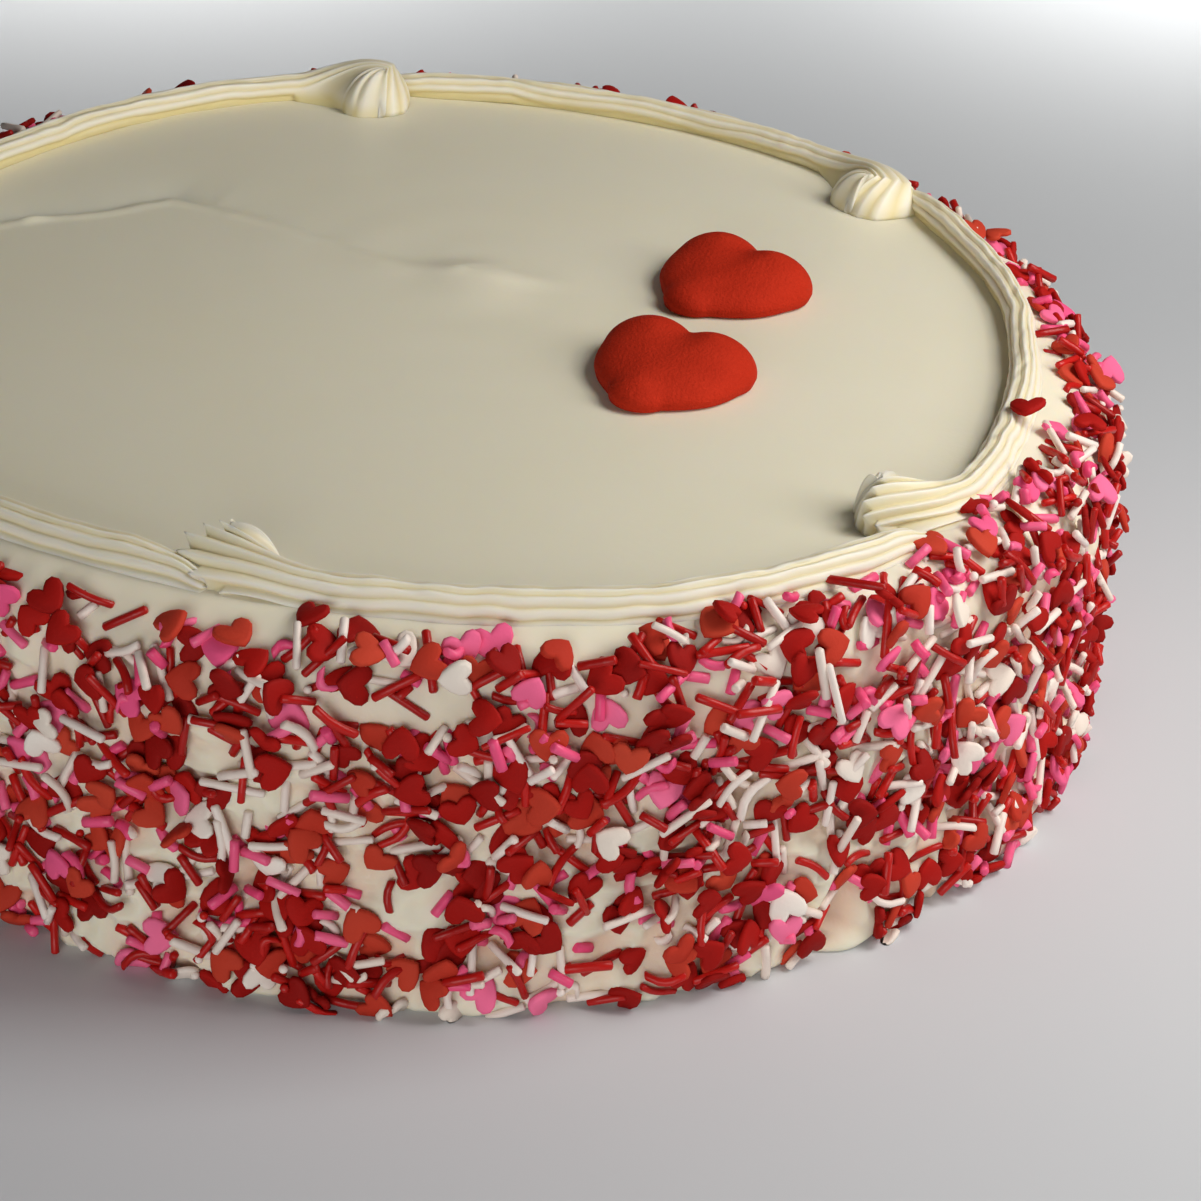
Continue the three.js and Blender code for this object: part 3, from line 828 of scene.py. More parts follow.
@dataclass
class PipedRun:
    """One run of the piped border: a fan of ridges that draws together into a rope.

    Its places are local, in millimetres: ahead along the border, inward from it and above the top.
    A phase is a place round the shell in ridges, a whole number at each ridge's middle. A stage is
    a place along the run: to one underneath, to two up the shell's foot, to three over the shell,
    to four along the rope and to five where the rope closes.
    """

    path: BorderPath
    index: int
    shell: Shell
    end: float
    top_height: float
    inner_half_width: float = 3.5
    outer_half_width: float = 1.8
    outer_flare: float = 0.8
    rope_half_height: float = 3.4
    rope_rise: float = 1.2
    lean: float = 0.3
    ridge_depth: float = 0.44
    tip_depth: float = 1.25
    tip_gap: float = 2.2
    fine_depth: float = 0.16
    nick_depth: float = 0.16
    sunk: float = 0.15
    dome_depth: float = 0.75
    middle_share: float = 0.45
    join: float = 15.0
    dome_share: float = 0.8
    tail_gap: float = 2.4
    columns_per_ridge: int = 12
    base_spread: float = 7.0
    bump: tuple[float, float] = (1.8, 1.3)
    section_turns: tuple[tuple[float, float], ...] = (
        (-0.5, -180), (2.5, -116), (3.5, -86), (4.5, -53), (5.5, -18), (6.5, 17), (7.5, 52), (8.5, 88),
        (9.0, 113), (12.5, 180),
    )

    def __post_init__(self) -> None:
        """Draws the hand's wander along the run."""
        self.wander = SmoothNoise(SEED + 10 + self.index, 64)
        self.start = math.radians(self.shell.degrees)
        self.length = (self.end - self.start) * self.path.radius
        self.tail = self.length - self.tail_gap
        self.rows = int((self.length - self.join) / 0.75) + 70

    def widen(self, inward: Array) -> Array:
        """Spreads what lies inward of the rope to this run's own reach, in millimetres."""
        return inward + np.clip((inward - 2) / 5, 0, 1) * (self.shell.spread - self.base_spread)

    def between(self, part: str, phase: Array) -> Array:
        """Draws a smooth curve through one part of each ridge, closed round the shell.

        Args:
            part: the ridges' tips, feet or ends, by the name of the field.
            phase: places round the shell.

        Returns:
            One local place for each phase.
        """
        knots = np.array([getattr(ridge, part) for ridge in self.shell.ridges])
        knots[:, 1] = self.widen(knots[:, 1])
        knots[:, 2] *= self.shell.rise
        low = np.floor(phase).astype(int)
        s = (phase - low)[:, None]
        a, b, c, d = (knots[(low + k) % len(knots)] for k in (-1, 0, 1, 2))
        bend, twist = 2 * a - 5 * b + 4 * c - d, 3 * b - a - 3 * c + d
        return (2 * b + (c - a) * s + bend * s**2 + twist * s**3) / 2

    def section(self, phase: Array, ahead: Array) -> Array:
        """Draws the rope's section.

        Args:
            phase: places round the section.
            ahead: distances along the run.

        Returns:
            One local place for each point.
        """
        left = self.tail - ahead
        grown = np.interp(left, [0, 3, 7, 12], [0.55, 0.8, 0.94, 1.0])
        shift = np.interp(left, [0, 3, 7, 12], [-1.2, -0.8, -0.4, 0.0])
        swell = 1 + 0.05 * self.wander(ahead / 420, 1.5) + 0.03 * self.wander(ahead / 130, 5.5)
        place = np.radians(np.interp(phase, *np.array(self.section_turns).T))
        rise = self.rope_rise * grown + self.rope_half_height * grown * swell * np.cos(place)
        outer = self.outer_half_width + self.outer_flare * np.exp(-np.maximum(ahead, 0) / 22)
        width = np.where(place > 0, self.inner_half_width, outer)
        inward = width * grown * swell * np.sin(place) + self.lean * (rise - 1.2)
        inward = inward + shift + 0.4 * self.wander(ahead / 500, 9.5)
        return np.stack([ahead, inward, rise], -1)

    def fan(self, phase: Array, rim: Array, stage: Array, lobe: Array) -> Array:
        """Draws the ridges from the rim to the rope and, on the inner side, down over the dome.

        Args:
            phase: places round the shell.
            rim: the ridges' tips.
            stage: places along the ridges, zero at the rim and one where they join the rope.
            lobe: share by which a ridge belongs to the inner dome.

        Returns:
            One local place for each point.
        """
        joins = self.section(phase, np.full(len(phase), self.join))
        pull = joins - rim
        t = np.clip(stage, 0, 1)
        lift = (self.bump[0] + self.bump[1] * (self.shell.spread - self.base_spread)) * self.shell.rise
        leave = pull * [1.1, 1.7, 0.7] + np.array([0, 0, lift])
        rope_side = rim * (2 * t**3 - 3 * t**2 + 1) + leave * (t**3 - 2 * t**2 + t)
        rope_side = rope_side + joins * (3 * t**2 - 2 * t**3) + pull * [1.0, 0.1, 0.0] * (t**3 - t**2)
        end = self.between("end", np.clip(phase, 9, 12)) - [0, 0, self.sunk]
        u = np.clip(stage / self.dome_share, 0, 1)
        over = rim + (end - rim) * [0.55, 0.55, 0] + [0, 0, 0.8]
        down = end + rim * [0, 0, 0.58]
        dome = rim * (1 - u) ** 3 + over * 3 * u * (1 - u) ** 2 + down * 3 * u**2 * (1 - u) + end * u**3
        v = np.clip((stage - self.dome_share) / (1 - self.dome_share), 0, 1)
        floor = end * (1 - v) + (joins * [1, 1, 0] + [0, 0, -self.sunk]) * v
        return rope_side * (1 - lobe) + np.where(stage > self.dome_share, floor, dome) * lobe

    def body(self, phase: Array, stage: Array, lobe: Array) -> Array:
        """Draws the run's form before its ridges are cut.

        Args:
            phase: places round the shell.
            stage: places along the run, one row for each point.
            lobe: share by which a ridge belongs to the inner dome.

        Returns:
            One local place for each point.
        """
        rim, foot = self.between("tip", phase), self.between("foot", phase)
        middle = np.array([0.0, self.middle_share * self.shell.spread, 0.0])
        under = middle * (1 - stage) + foot * stage
        climb = np.clip(stage - 1, 0, 1)
        wall = foot + (rim - foot) * np.concatenate([climb**2, climb**2, climb], -1)
        over = self.fan(phase, rim, stage - 2, lobe)
        share = np.clip(stage[:, 0] - 3, 0, 1)
        rope = self.section(phase, self.join * (1 - share) + self.tail * share)
        return np.select([stage < 1, stage < 2, stage < 3], [under, wall, over], rope)

    def teeth(self, turn: Array, phase: Array, stage: Array, calm: Array, ahead: Array) -> Teeth:
        """Works out what the nozzle's teeth leave.

        Args:
            turn: angles round the section in radians, zero on its crest.
            phase: places round the shell.
            stage: places along the run.
            calm: share by which a point lies on the inner dome.
            ahead: distances along the run.

        Returns:
            The shares for each point.
        """
        curl = self.shell.curl
        fan = np.interp(stage, [1, 2, 2.25, 2.6, 3], [0.35 * (1 - curl), 1, 0.7, 0.3, 0])
        ropy = np.interp(stage, [2, 3], [0, 1])
        creep = ropy * (0.5 * self.wander(ahead / 900, 13.5) + 0.16 * self.wander(ahead / 260, 17.5))
        wave = np.abs(np.cos(math.pi * (phase + creep)))
        blade = np.sqrt(np.maximum(0, 1 - wave**2)) * (1 - 0.45 * wave)
        crest = np.exp(-(((turn - 0.1) / 0.55) ** 2)) * ropy
        fine = (1 - np.abs(np.cos(math.tau * (phase + creep)))) ** 1.5 * crest
        return Teeth(fan * (0.55 + 0.45 * curl), calm, ropy, wave, blade, (1 - wave) ** 1.3, fine)

    def carve(self, local: Array, phase: Array, stage: Array, teeth: Teeth) -> Array:
        """Cuts the ridges in towards the core of the run and sets the shell's tips apart.

        Args:
            local: the form's points.
            phase: places round the shell.
            stage: places along the run.
            teeth: what the nozzle's teeth leave.

        Returns:
            The cut points.
        """
        fan, calm, ropy, blade = teeth.fan, teeth.calm, teeth.ropy, teeth.blade
        claw = self.tip_depth * fan * blade + self.ridge_depth * ropy * teeth.line
        claw = claw + self.fine_depth * teeth.fine
        streak = self.dome_depth * np.interp(stage, [1.3, 2, 2.5, 2.75], [0, 1, 0.8, 0]) * (1 - teeth.wave)
        depth = claw * (1 - calm) + streak * calm
        depth = depth * np.interp(stage, [0, 0.4, 1, 4, 5], [0, 1, 1, 1, 0])
        core_inward = self.middle_share * self.shell.spread * (1 - ropy) + 0.3 * ropy
        core = np.stack([local[:, 0] + 3.0 * fan * (1 - calm), core_inward, 1.2 + 0.6 * fan], -1)
        inwards = core - local
        inwards /= np.maximum(np.linalg.norm(inwards, axis=-1, keepdims=True), 1e-6)
        local = local + inwards * depth[:, None]
        apart = self.shell.curl * self.tip_gap * fan * blade * (1 - calm)
        local[:, 0] += apart * (phase > 2.5) * (phase < 9)
        return local

    def mapping(self, across: Array, along: Array) -> tuple[Array, Array]:
        """Draws the ridges from the shell's underside up its foot, over it and along the rope.

        Args:
            across: places round the form, from zero to one.
            along: places from its start to its end, from zero to one.

        Returns:
            The points in millimetres and the depth of the fold at each, from zero to one, with the rope's
            low inner flank added for painted shade.
        """
        turn = (across - 0.5) * math.tau
        phase = across * len(self.shell.ridges) - 0.5
        stage_rows = [0, 3, 12, 68, self.rows - 2, self.rows]
        stage = np.interp(along * self.rows, stage_rows, [0, 1, 2, 3, 4, 5])[:, None]
        lobe = np.clip((phase - 8.25) / 0.45, 0, 1) * np.clip((12.5 - phase) / 0.4, 0, 1)
        lobe = (lobe * lobe * (3 - 2 * lobe))[:, None]
        local = self.body(phase, stage, lobe)
        teeth = self.teeth(turn, phase, stage[:, 0], (stage[:, 0] < 3) * lobe[:, 0], local[:, 0])
        local = self.carve(local, phase, stage[:, 0], teeth)
        closing = np.clip(stage - 4, 0, 1)
        tail = self.section(np.full(len(turn), 6.0), np.full(len(turn), self.tail + 0.8)) * [1, 1, 0.3]
        local = local * (1 - closing) + tail * closing
        nick = self.wander(local[:, 0] / 190 + 0.3 * across, turn * 4) * teeth.ropy
        local[:, 2] += self.nick_depth * nick * np.exp(-((turn / 0.9) ** 2))
        local[:, 2] = np.maximum(local[:, 2], -self.sunk)
        angle = self.start + local[:, 0] / self.path.radius
        reach = self.path.reach(angle) - local[:, 1]
        points = np.stack([reach * np.cos(angle), reach * np.sin(angle), self.top_height + local[:, 2]], -1)
        # Painted shade: the grooves, the fine crest lines and the rope's low inner flank take the piped
        # icing's yellow second colour, as shade with the yellow of light seen through the icing.
        groove = teeth.ropy * teeth.line + (1 - teeth.ropy) * teeth.blade
        flank = teeth.ropy * np.clip(np.sin(turn), 0, 1) * np.clip(1.6 - 0.6 * local[:, 2], 0, 1)
        return points, np.clip(groove * (0.75 - 0.35 * teeth.calm) + 0.4 * teeth.fine + 0.8 * flank, 0, 1)

    def build(self, material: bpy.types.Material) -> bpy.types.Object:
        """Makes the run as one closed piece with its folds and inner flank marked for the painted shade.

        Args:
            material: the icing's finish.

        Returns:
            The piece that stands for this run's solid.
        """
        name = f"piped_run_{self.index}"
        columns = len(self.shell.ridges) * self.columns_per_ridge
        mesh = weld_sheet(name, columns, self.rows, self.mapping)
        return add_piece(name, mesh, material, f"piped_border_{self.index}")


@dataclass
class CandyHeart:
    """A plump candy heart: two domed lobes that run together towards its tip."""

    name: str
    node: str
    turn: float
    lobe_out: float = 5.15
    lobe_up: float = 5.5
    lobe_radius: float = 7.9
    tip_down: float = 8.4
    tip_radius: float = 5.0
    side_bulge: float = 1.8
    height: float = 7.4
    rim: float = 1.2
    tip_share: float = 0.45
    blend: float = 5.2
    under_share: float = 0.97
    faces: tuple[int, int] = (128, 56)

    def lobe(self, x: Array, y: Array, side: int) -> tuple[Array, Array]:
        """Measures from one lobe.

        Args:
            x: places across, in millimetres.
            y: places up from the heart's middle, in millimetres.
            side: minus one for the left lobe and one for the right.

        Returns:
            How near each point is to the lobe's edge, one on it, and its place along the lobe.
        """
        lean_x, lean_y = side * self.lobe_out, self.lobe_up + self.tip_down
        along = np.clip((x * lean_x + (y + self.tip_down) * lean_y) / (lean_x**2 + lean_y**2), 0, 1)
        radius = self.tip_radius + (self.lobe_radius - self.tip_radius) * along
        radius = radius + self.side_bulge * np.sin(math.pi * along)
        away = np.hypot(x - along * lean_x, y + self.tip_down - along * lean_y)
        return away / radius, along

    def edge(self, turn: Array) -> Array:
        """Finds the outline by halving.

        Args:
            turn: angles round the middle, in radians from the notch.

        Returns:
            Its distances from the middle, in millimetres.
        """
        low, high = np.zeros_like(turn), np.full_like(turn, 30.0)
        for _ in range(24):
            middle = (low + high) / 2
            x, y = middle * np.sin(turn), middle * np.cos(turn)
            inside = np.minimum(self.lobe(x, y, -1)[0], self.lobe(x, y, 1)[0]) < 1
            low, high = np.where(inside, middle, low), np.where(inside, high, middle)
        return low

    def dome(self, x: Array, y: Array) -> Array:
        """Raises the two lobes and runs them together.

        Args:
            x: places across, in millimetres.
            y: places up from the heart's middle, in millimetres.

        Returns:
            Heights over the rim, in millimetres.
        """
        total = np.zeros_like(x)
        for side in (-1, 1):
            near, along = self.lobe(x, y, side)
            lobe = np.maximum(0, 1 - near**1.63) ** 0.51 * (self.tip_share + (1 - self.tip_share) * along)
            total = total + lobe**self.blend
        return (self.height - self.rim) * total ** (1 / self.blend)

    def mapping(self, across: Array, along: Array) -> tuple[Array, Array]:
        """Rolls the grid from the middle of the underside over the rim to the crown.

        Args:
            across: places round the form, from zero to one.
            along: places from its start to its end, from zero to one.

        Returns:
            The points in millimetres and the depth of the fold at each, from zero to one.
        """
        turn = across * math.tau
        under, rim = 0.12, 0.2
        crown = np.clip((along - rim) / (1 - rim), 0, 1)
        share = np.where(along < under, along / under * self.under_share, 1 - crown**1.5)
        edge = np.interp(along, [under, rim], [self.under_share, 1.0])
        share = np.where((along >= under) & (along < rim), edge, share)
        x, y = share * self.edge(turn) * np.sin(turn), share * self.edge(turn) * np.cos(turn)
        rise = self.rim * np.clip((along - under) / (rim - under), 0, 1)
        height = np.where(along < rim, rise, self.rim + self.dome(x, y) * (along > rim))
        return np.stack([x, y, height], -1), np.zeros(len(turn))

    def build(self, material: bpy.types.Material) -> bpy.types.Object:
        """Makes the heart where its solid lies.

        Args:
            material: the candy's finish.

        Returns:
            The piece that stands for the solid.
        """
        mesh = weld_sheet(self.name, *self.faces, self.mapping)
        mesh.transform(Matrix.Rotation(self.turn - math.pi / 2, 4, "Z"))
        low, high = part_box(self.node)
        points = np.array([v.co for v in mesh.vertices])
        own = (points.min(0) + points.max(0)) / 2
        middle = (Vector(low) + Vector(high)) / 2
        shift = Vector((middle.x - own[0], middle.y - own[1], low[2] - points[:, 2].min()))
        mesh.transform(Matrix.Translation(shift))
        return add_piece(self.name, mesh, material, self.node)


class Tone(Enum):
    """The colours of the sprinkles."""

    RED = "red"
    SCARLET = "scarlet"
    PINK = "pink"
    WHITE = "white"


class Kind(Enum):
    """The shapes of the sprinkles."""

    HEART = "hearts"
    STRAND = "strands"
    DOT = "dots"


@dataclass(frozen=True)
class Placed:
    """One sprinkle that the photograph singles out: where it lies and how it is turned."""

    kind: Kind
    tone: Tone
    degrees: float
    distance: float
    spin: float
    lean: float = 0.0
    lift: float = 0.0


ON_ROPE = Placed(Kind.HEART, Tone.RED, -16.5, 60.9, 270, 12, 3.9)
PLACED = (
    Placed(Kind.HEART, Tone.RED, -91.2, 57.0, 190),
    Placed(Kind.HEART, Tone.RED, -93.4, 54.2, 100, 30),
    Placed(Kind.HEART, Tone.WHITE, -87.9, 54.6, 40),
    Placed(Kind.HEART, Tone.PINK, -83.5, 55.2, 20, 35),
    Placed(Kind.HEART, Tone.PINK, -81.3, 56.2, 15),
    Placed(Kind.STRAND, Tone.RED, -79.3, 53.6, 100),
    Placed(Kind.STRAND, Tone.RED, -80.6, 53.0, 130),
    Placed(Kind.HEART, Tone.WHITE, -81.8, 45.4, 10),
    Placed(Kind.HEART, Tone.RED, -59.5, 60.2, 160, 15),
    Placed(Kind.HEART, Tone.RED, -61.8, 58.6, 230),
    Placed(Kind.HEART, Tone.RED, -55.6, 57.0, 20),
    Placed(Kind.HEART, Tone.WHITE, -57.4, 54.4, 330),
    Placed(Kind.HEART, Tone.RED, -112.8, 55.2, 10, -60),
    Placed(Kind.HEART, Tone.RED, -118.2, 54.6, 350, -50),
    Placed(Kind.HEART, Tone.RED, -116.9, 53.0, 200, 30),
    Placed(Kind.STRAND, Tone.WHITE, -42.9, 59.6, 92),
    Placed(Kind.HEART, Tone.RED, -49.0, 54.6, 20),
    Placed(Kind.HEART, Tone.PINK, -41.0, 54.6, 40),
    Placed(Kind.HEART, Tone.RED, -24.4, 57.0, 80, 65),
    Placed(Kind.HEART, Tone.PINK, -104.0, 54.6, 30, -65),
    Placed(Kind.STRAND, Tone.WHITE, -89.0, 50.8, 175),
)


@dataclass(frozen=True)
class Cast:
    """One sprinkle in the air: its footprint and thickness in millimetres, size, colours and bend.

    It rolls off a pile that is higher than most, and slack is how loosely it lies.
    """

    across: Array
    up: Array
    thickness: float
    most: float
    mix: dict[Tone, float]
    scale: Matrix
    bend: float = 0.0
    slack: float = 0.0


@dataclass
class SprinkleCoat:
    """The coat of pressed sugar hearts, sugar strands and a few sugar dots on the side.

    Its sizes are in millimetres. A strand's length is a mean and a spread for each colour.
    """

    cake: IcedCake
    heart_width: float = 5.2
    heart_thickness: float = 1.1
    strand_radius: float = 0.6
    dot_radius: float = 0.65
    counts: dict[Kind, int] = field(
        default_factory=lambda: {Kind.HEART: 1560, Kind.STRAND: 3550, Kind.DOT: 140}
    )
    heart_mix: dict[Tone, float] = field(
        default_factory=lambda: {Tone.RED: 0.54, Tone.SCARLET: 0.28, Tone.PINK: 0.1, Tone.WHITE: 0.08}
    )
    strand_mix: dict[Tone, float] = field(
        default_factory=lambda: {Tone.RED: 0.4, Tone.PINK: 0.31, Tone.WHITE: 0.29}
    )
    dot_mix: dict[Tone, float] = field(default_factory=lambda: {Tone.RED: 0.4, Tone.WHITE: 0.6})
    strand_lengths: dict[Tone, tuple[float, float]] = field(
        default_factory=lambda: {Tone.RED: (5.8, 1.5), Tone.PINK: (4.0, 1.0), Tone.WHITE: (6.0, 1.8)}
    )
    tries: int = 60
    lowest: float = 0.6
    highest: float = 62.0
    pressed_in: float = 0.45
    steepest: float = 0.9
    settled: float = 0.6
    stood_up: float = 0.05
    flat_above: float = 50.0
    edge_knots: tuple[tuple[float, float], ...] = (
        (-180, 55.5), (-120, 54.5), (-100, 55), (-86, 56), (-73, 56), (-62, 59), (-40, 60.5), (-24, 59),
        (-16, 58), (-9, 56.5), (-2, 57.2), (6, 59.5), (30, 58), (70, 57), (120, 56.5), (180, 55.5),
    )
    cell: float = 0.8
    farthest: float = 116.0

    def heart_template(self) -> tuple[Array, list[list[int]]]:
        """Makes one heart: a pressed plate with pillowed sides, in millimetres.

        Returns:
            Its points, and the numbers of the points in each face.
        """
        bm = bmesh.new()
        half, thick = self.heart_width / 2, self.heart_thickness
        right = [
            (0.38, -0.66), (0.74, -0.26), (0.97, 0.18), (0.98, 0.56),
            (0.74, 0.86), (0.38, 0.86), (0.12, 0.66),
        ]
        left = [(-x, y) for x, y in reversed(right)]
        outline = [(0.0, -0.92), *right, (0.0, 0.52), *left]
        ring = [bm.verts.new((x * half, y * half, -0.28 * thick)) for x, y in outline]
        bottom = bm.faces.new(ring)
        up = bmesh.ops.extrude_face_region(bm, geom=[bottom], use_keep_orig=True)
        raised = [g for g in up["geom"] if isinstance(g, bmesh.types.BMVert)]
        bmesh.ops.translate(bm, vec=(0, 0, 0.56 * thick), verts=raised)
        bmesh.ops.recalc_face_normals(bm, faces=bm.faces)
        for cap in [f for f in bm.faces if abs(f.normal.z) > 0.9]:
            bmesh.ops.inset_region(bm, faces=[cap], thickness=0.36, depth=0.2 * thick, use_even_offset=True)
        return self.read(bm)

    def strand_template(self) -> tuple[Array, list[list[int]]]:
        """Makes one strand of length and radius one along X, with blunt rounded ends.

        Returns:
            Its points, and the numbers of the points in each face.
        """
        bm = bmesh.new()
        sides, rows = 7, 6
        bmesh.ops.create_grid(bm, x_segments=sides, y_segments=rows, size=0.5)
        for vert in bm.verts:
            turn = (vert.co.x + 0.5) * math.tau
            step = round((vert.co.y + 0.5) * rows)
            place = [-0.5, -0.47, -0.17, 0.0, 0.17, 0.47, 0.5][step]
            reach = 0.62 if step in (0, rows) else 1.0
            vert.co = (place, reach * math.cos(turn), reach * math.sin(turn))
        bmesh.ops.remove_doubles(bm, verts=bm.verts, dist=1e-4)
        bmesh.ops.holes_fill(bm, edges=[e for e in bm.edges if e.is_boundary], sides=sides)
        bmesh.ops.recalc_face_normals(bm, faces=bm.faces)
        return self.read(bm)

    def dot_template(self) -> tuple[Array, list[list[int]]]:
        """Makes one sugar dot of radius one.

        Returns:
            Its points, and the numbers of the points in each face.
        """
        bm = bmesh.new()
        bmesh.ops.create_icosphere(bm, subdivisions=2, radius=1.0)
        return self.read(bm)

    @staticmethod
    def read(bm: bmesh.types.BMesh) -> tuple[Array, list[list[int]]]:
        """Reads a small form and frees it.

        Args:
            bm: the form.

        Returns:
            Its points, and the numbers of the points in each face.
        """
        bm.verts.index_update()
        points = np.array([v.co for v in bm.verts])
        faces = [[v.index for v in f.verts] for f in bm.faces]
        bm.free()
        return points, faces

    def upper_edge(self, angle: Array) -> Array:
        """Draws the coat's upper edge, uneven as a thrown coat is.

        Args:
            angle: an angle round the axis, in radians.

        Returns:
            How far up the side it reaches, in millimetres.
        """
        degrees = (np.degrees(angle) + 180) % 360 - 180
        broad = np.interp(degrees, *np.transpose(self.edge_knots))
        uneven = broad + 0.9 * np.sin(11 * angle + 0.7) + 0.7 * np.sin(23 * angle + 2.1)
        return uneven + 0.5 * np.sin(41 * angle)

    def lay_pile(self) -> None:
        """Starts the map of how high the side stands off its smooth form, in millimetres."""
        self.columns = int(math.tau * self.cake.base_radius / self.cell)
        self.rows = int((self.highest + 4) / self.cell)
        angle = np.arange(self.columns)[:, None] / self.columns * math.tau
        distance = (np.arange(self.rows)[None, :] + 0.5) * self.cell
        self.pile = self.cake.relief(angle, np.minimum(distance, self.cake.side_height)) - self.pressed_in

    def cells(self, angle: float, distance: float, across: Array, up: Array) -> tuple[Array, Array]:
        """Finds the map's cells under a footprint.

        Args:
            angle: the footprint's place round the cake, in radians.
            distance: its place up the side, in millimetres.
            across: its points round the cake from there, in millimetres.
            up: its points up from there, in millimetres.

        Returns:
            The cells' numbers round the cake and up.
        """
        i = np.round(angle / math.tau * self.columns + across / self.cell).astype(int) % self.columns
        j = np.clip(((distance + up) / self.cell).astype(int), 0, self.rows - 1)
        return i, j

    def rest(self, angle: float, distance: float, cast: Cast) -> tuple[float, float, float] | None:
        """Lets one sprinkle down on the pile and adds it to the map.

        Args:
            angle: its place round the cake, in radians.
            distance: its place up the side, in millimetres.
            cast: the sprinkle.

        Returns:
            Its middle's height off the smooth side and its slopes round and up, or None
            where the pile is too high and it rolls off.
        """
        across, up, thickness = cast.across, cast.up, cast.thickness
        i, j = self.cells(angle, distance, across, up)
        heights = self.pile[i, j]
        if heights.mean() > cast.most:
            return None
        fitted = np.linalg.lstsq(np.stack([np.ones_like(across), across, up], -1), heights, rcond=None)[0]
        slopes = np.clip(fitted[1:], -self.steepest, self.steepest)
        plane = fitted[0] + across * slopes[0] + up * slopes[1]
        base = fitted[0] + self.settled * float(np.max(heights - plane))
        self.pile[i, j] = np.maximum(heights, base + across * slopes[0] + up * slopes[1] + thickness)
        return base + thickness / 2, float(slopes[0]), float(slopes[1])

    def scatter(self) -> dict[str, list]:
        """Throws the sprinkles at the side, all kinds mixed, and lets them pile.

        Returns:
            Matrices, bends and tones for each kind and colour.
        """
        random = np.random.default_rng(SEED)
        self.lay_pile()
        kinds = [kind for kind, count in self.counts.items() for _ in range(count)]
        random.shuffle(kinds)
        thrown: dict[str, list] = {}
        for place in PLACED:
            self.throw(thrown, place.kind, math.radians(place.degrees), place.distance, random, place)
        for kind in kinds:
            for _ in range(self.tries):
                angle = random.uniform(0, math.tau)
                distance = random.uniform(self.lowest, self.highest)
                if distance > self.upper_edge(angle) - abs(random.normal(0, 1.0)):
                    continue
                near = (self.cake.from_dab(angle, distance, dab) for dab in self.cake.dabs)
                if any(away < random.uniform(0.5, 1.6) for away in near):
                    continue
                if self.throw(thrown, kind, angle, distance, random):
                    break
        self.throw(thrown, ON_ROPE.kind, math.radians(ON_ROPE.degrees), ON_ROPE.distance, random, ON_ROPE)
        return thrown

    def cast_heart(self, random: np.random.Generator, place: Placed | None) -> Cast:
        """Draws a heart, a little larger where the photograph singles it out.

        Args:
            random: the draw.
            place: how it lies where the photograph singles it out.

        Returns:
            The heart in the air.
        """
        ring = np.linspace(0, math.tau, 13)[:-1]
        reach = 0.42 * self.heart_width
        across = np.concatenate([reach * np.cos(ring), 0.5 * reach * np.cos(ring), [0.0]])
        up = np.concatenate([reach * np.sin(ring), 0.5 * reach * np.sin(ring), [0.0]])
        most = random.uniform(0.5, 1.6)
        mix = {place.tone: 1.0} if place else self.heart_mix
        size = random.normal(1.1 if place else 1, 0.05)
        scale = Matrix.Diagonal((size, size * random.uniform(0.94, 1.04), random.uniform(0.85, 1.12)))
        return Cast(across, up, self.heart_thickness, most, mix, scale, slack=0.16)

    def cast_strand(self, spin: float, random: np.random.Generator, place: Placed | None) -> Cast:
        """Draws a strand: a pink one is short and thick, and some are bent.

        Args:
            spin: how it is turned on the side, in radians.
            random: the draw.
            place: how it lies where the photograph singles it out.

        Returns:
            The strand in the air.
        """
        tone = place.tone if place else self.draw(self.strand_mix, random)
        length = float(np.clip(random.normal(*self.strand_lengths[tone]), 2.4, 10.2))
        line = np.linspace(-0.42, 0.42, 9) * length
        most = random.uniform(0.4, 1.8)
        thick = self.strand_radius * random.normal(1.25 if tone is Tone.PINK else 1.05, 0.07)
        bend = float(random.normal(0, 0.5)) if random.uniform() < 0.4 else 0.0
        across, up = line * math.cos(spin), line * math.sin(spin)
        scale = Matrix.Diagonal((length, thick, thick))
        return Cast(across, up, 2 * self.strand_radius, most, {tone: 1.0}, scale, bend, 0.1)

    def cast_dot(self, random: np.random.Generator) -> Cast:
        """Draws a sugar dot.

        Args:
            random: the draw.

        Returns:
            The dot in the air.
        """
        across, up = np.array([-0.4, 0, 0.4]), np.array([0.3, -0.3, 0.3])
        most = random.uniform(0.6, 2.0)
        size = self.dot_radius * random.normal(1, 0.08)
        scale = Matrix.Diagonal((size, size, size))
        return Cast(across, up, 2 * self.dot_radius, most, self.dot_mix, scale)

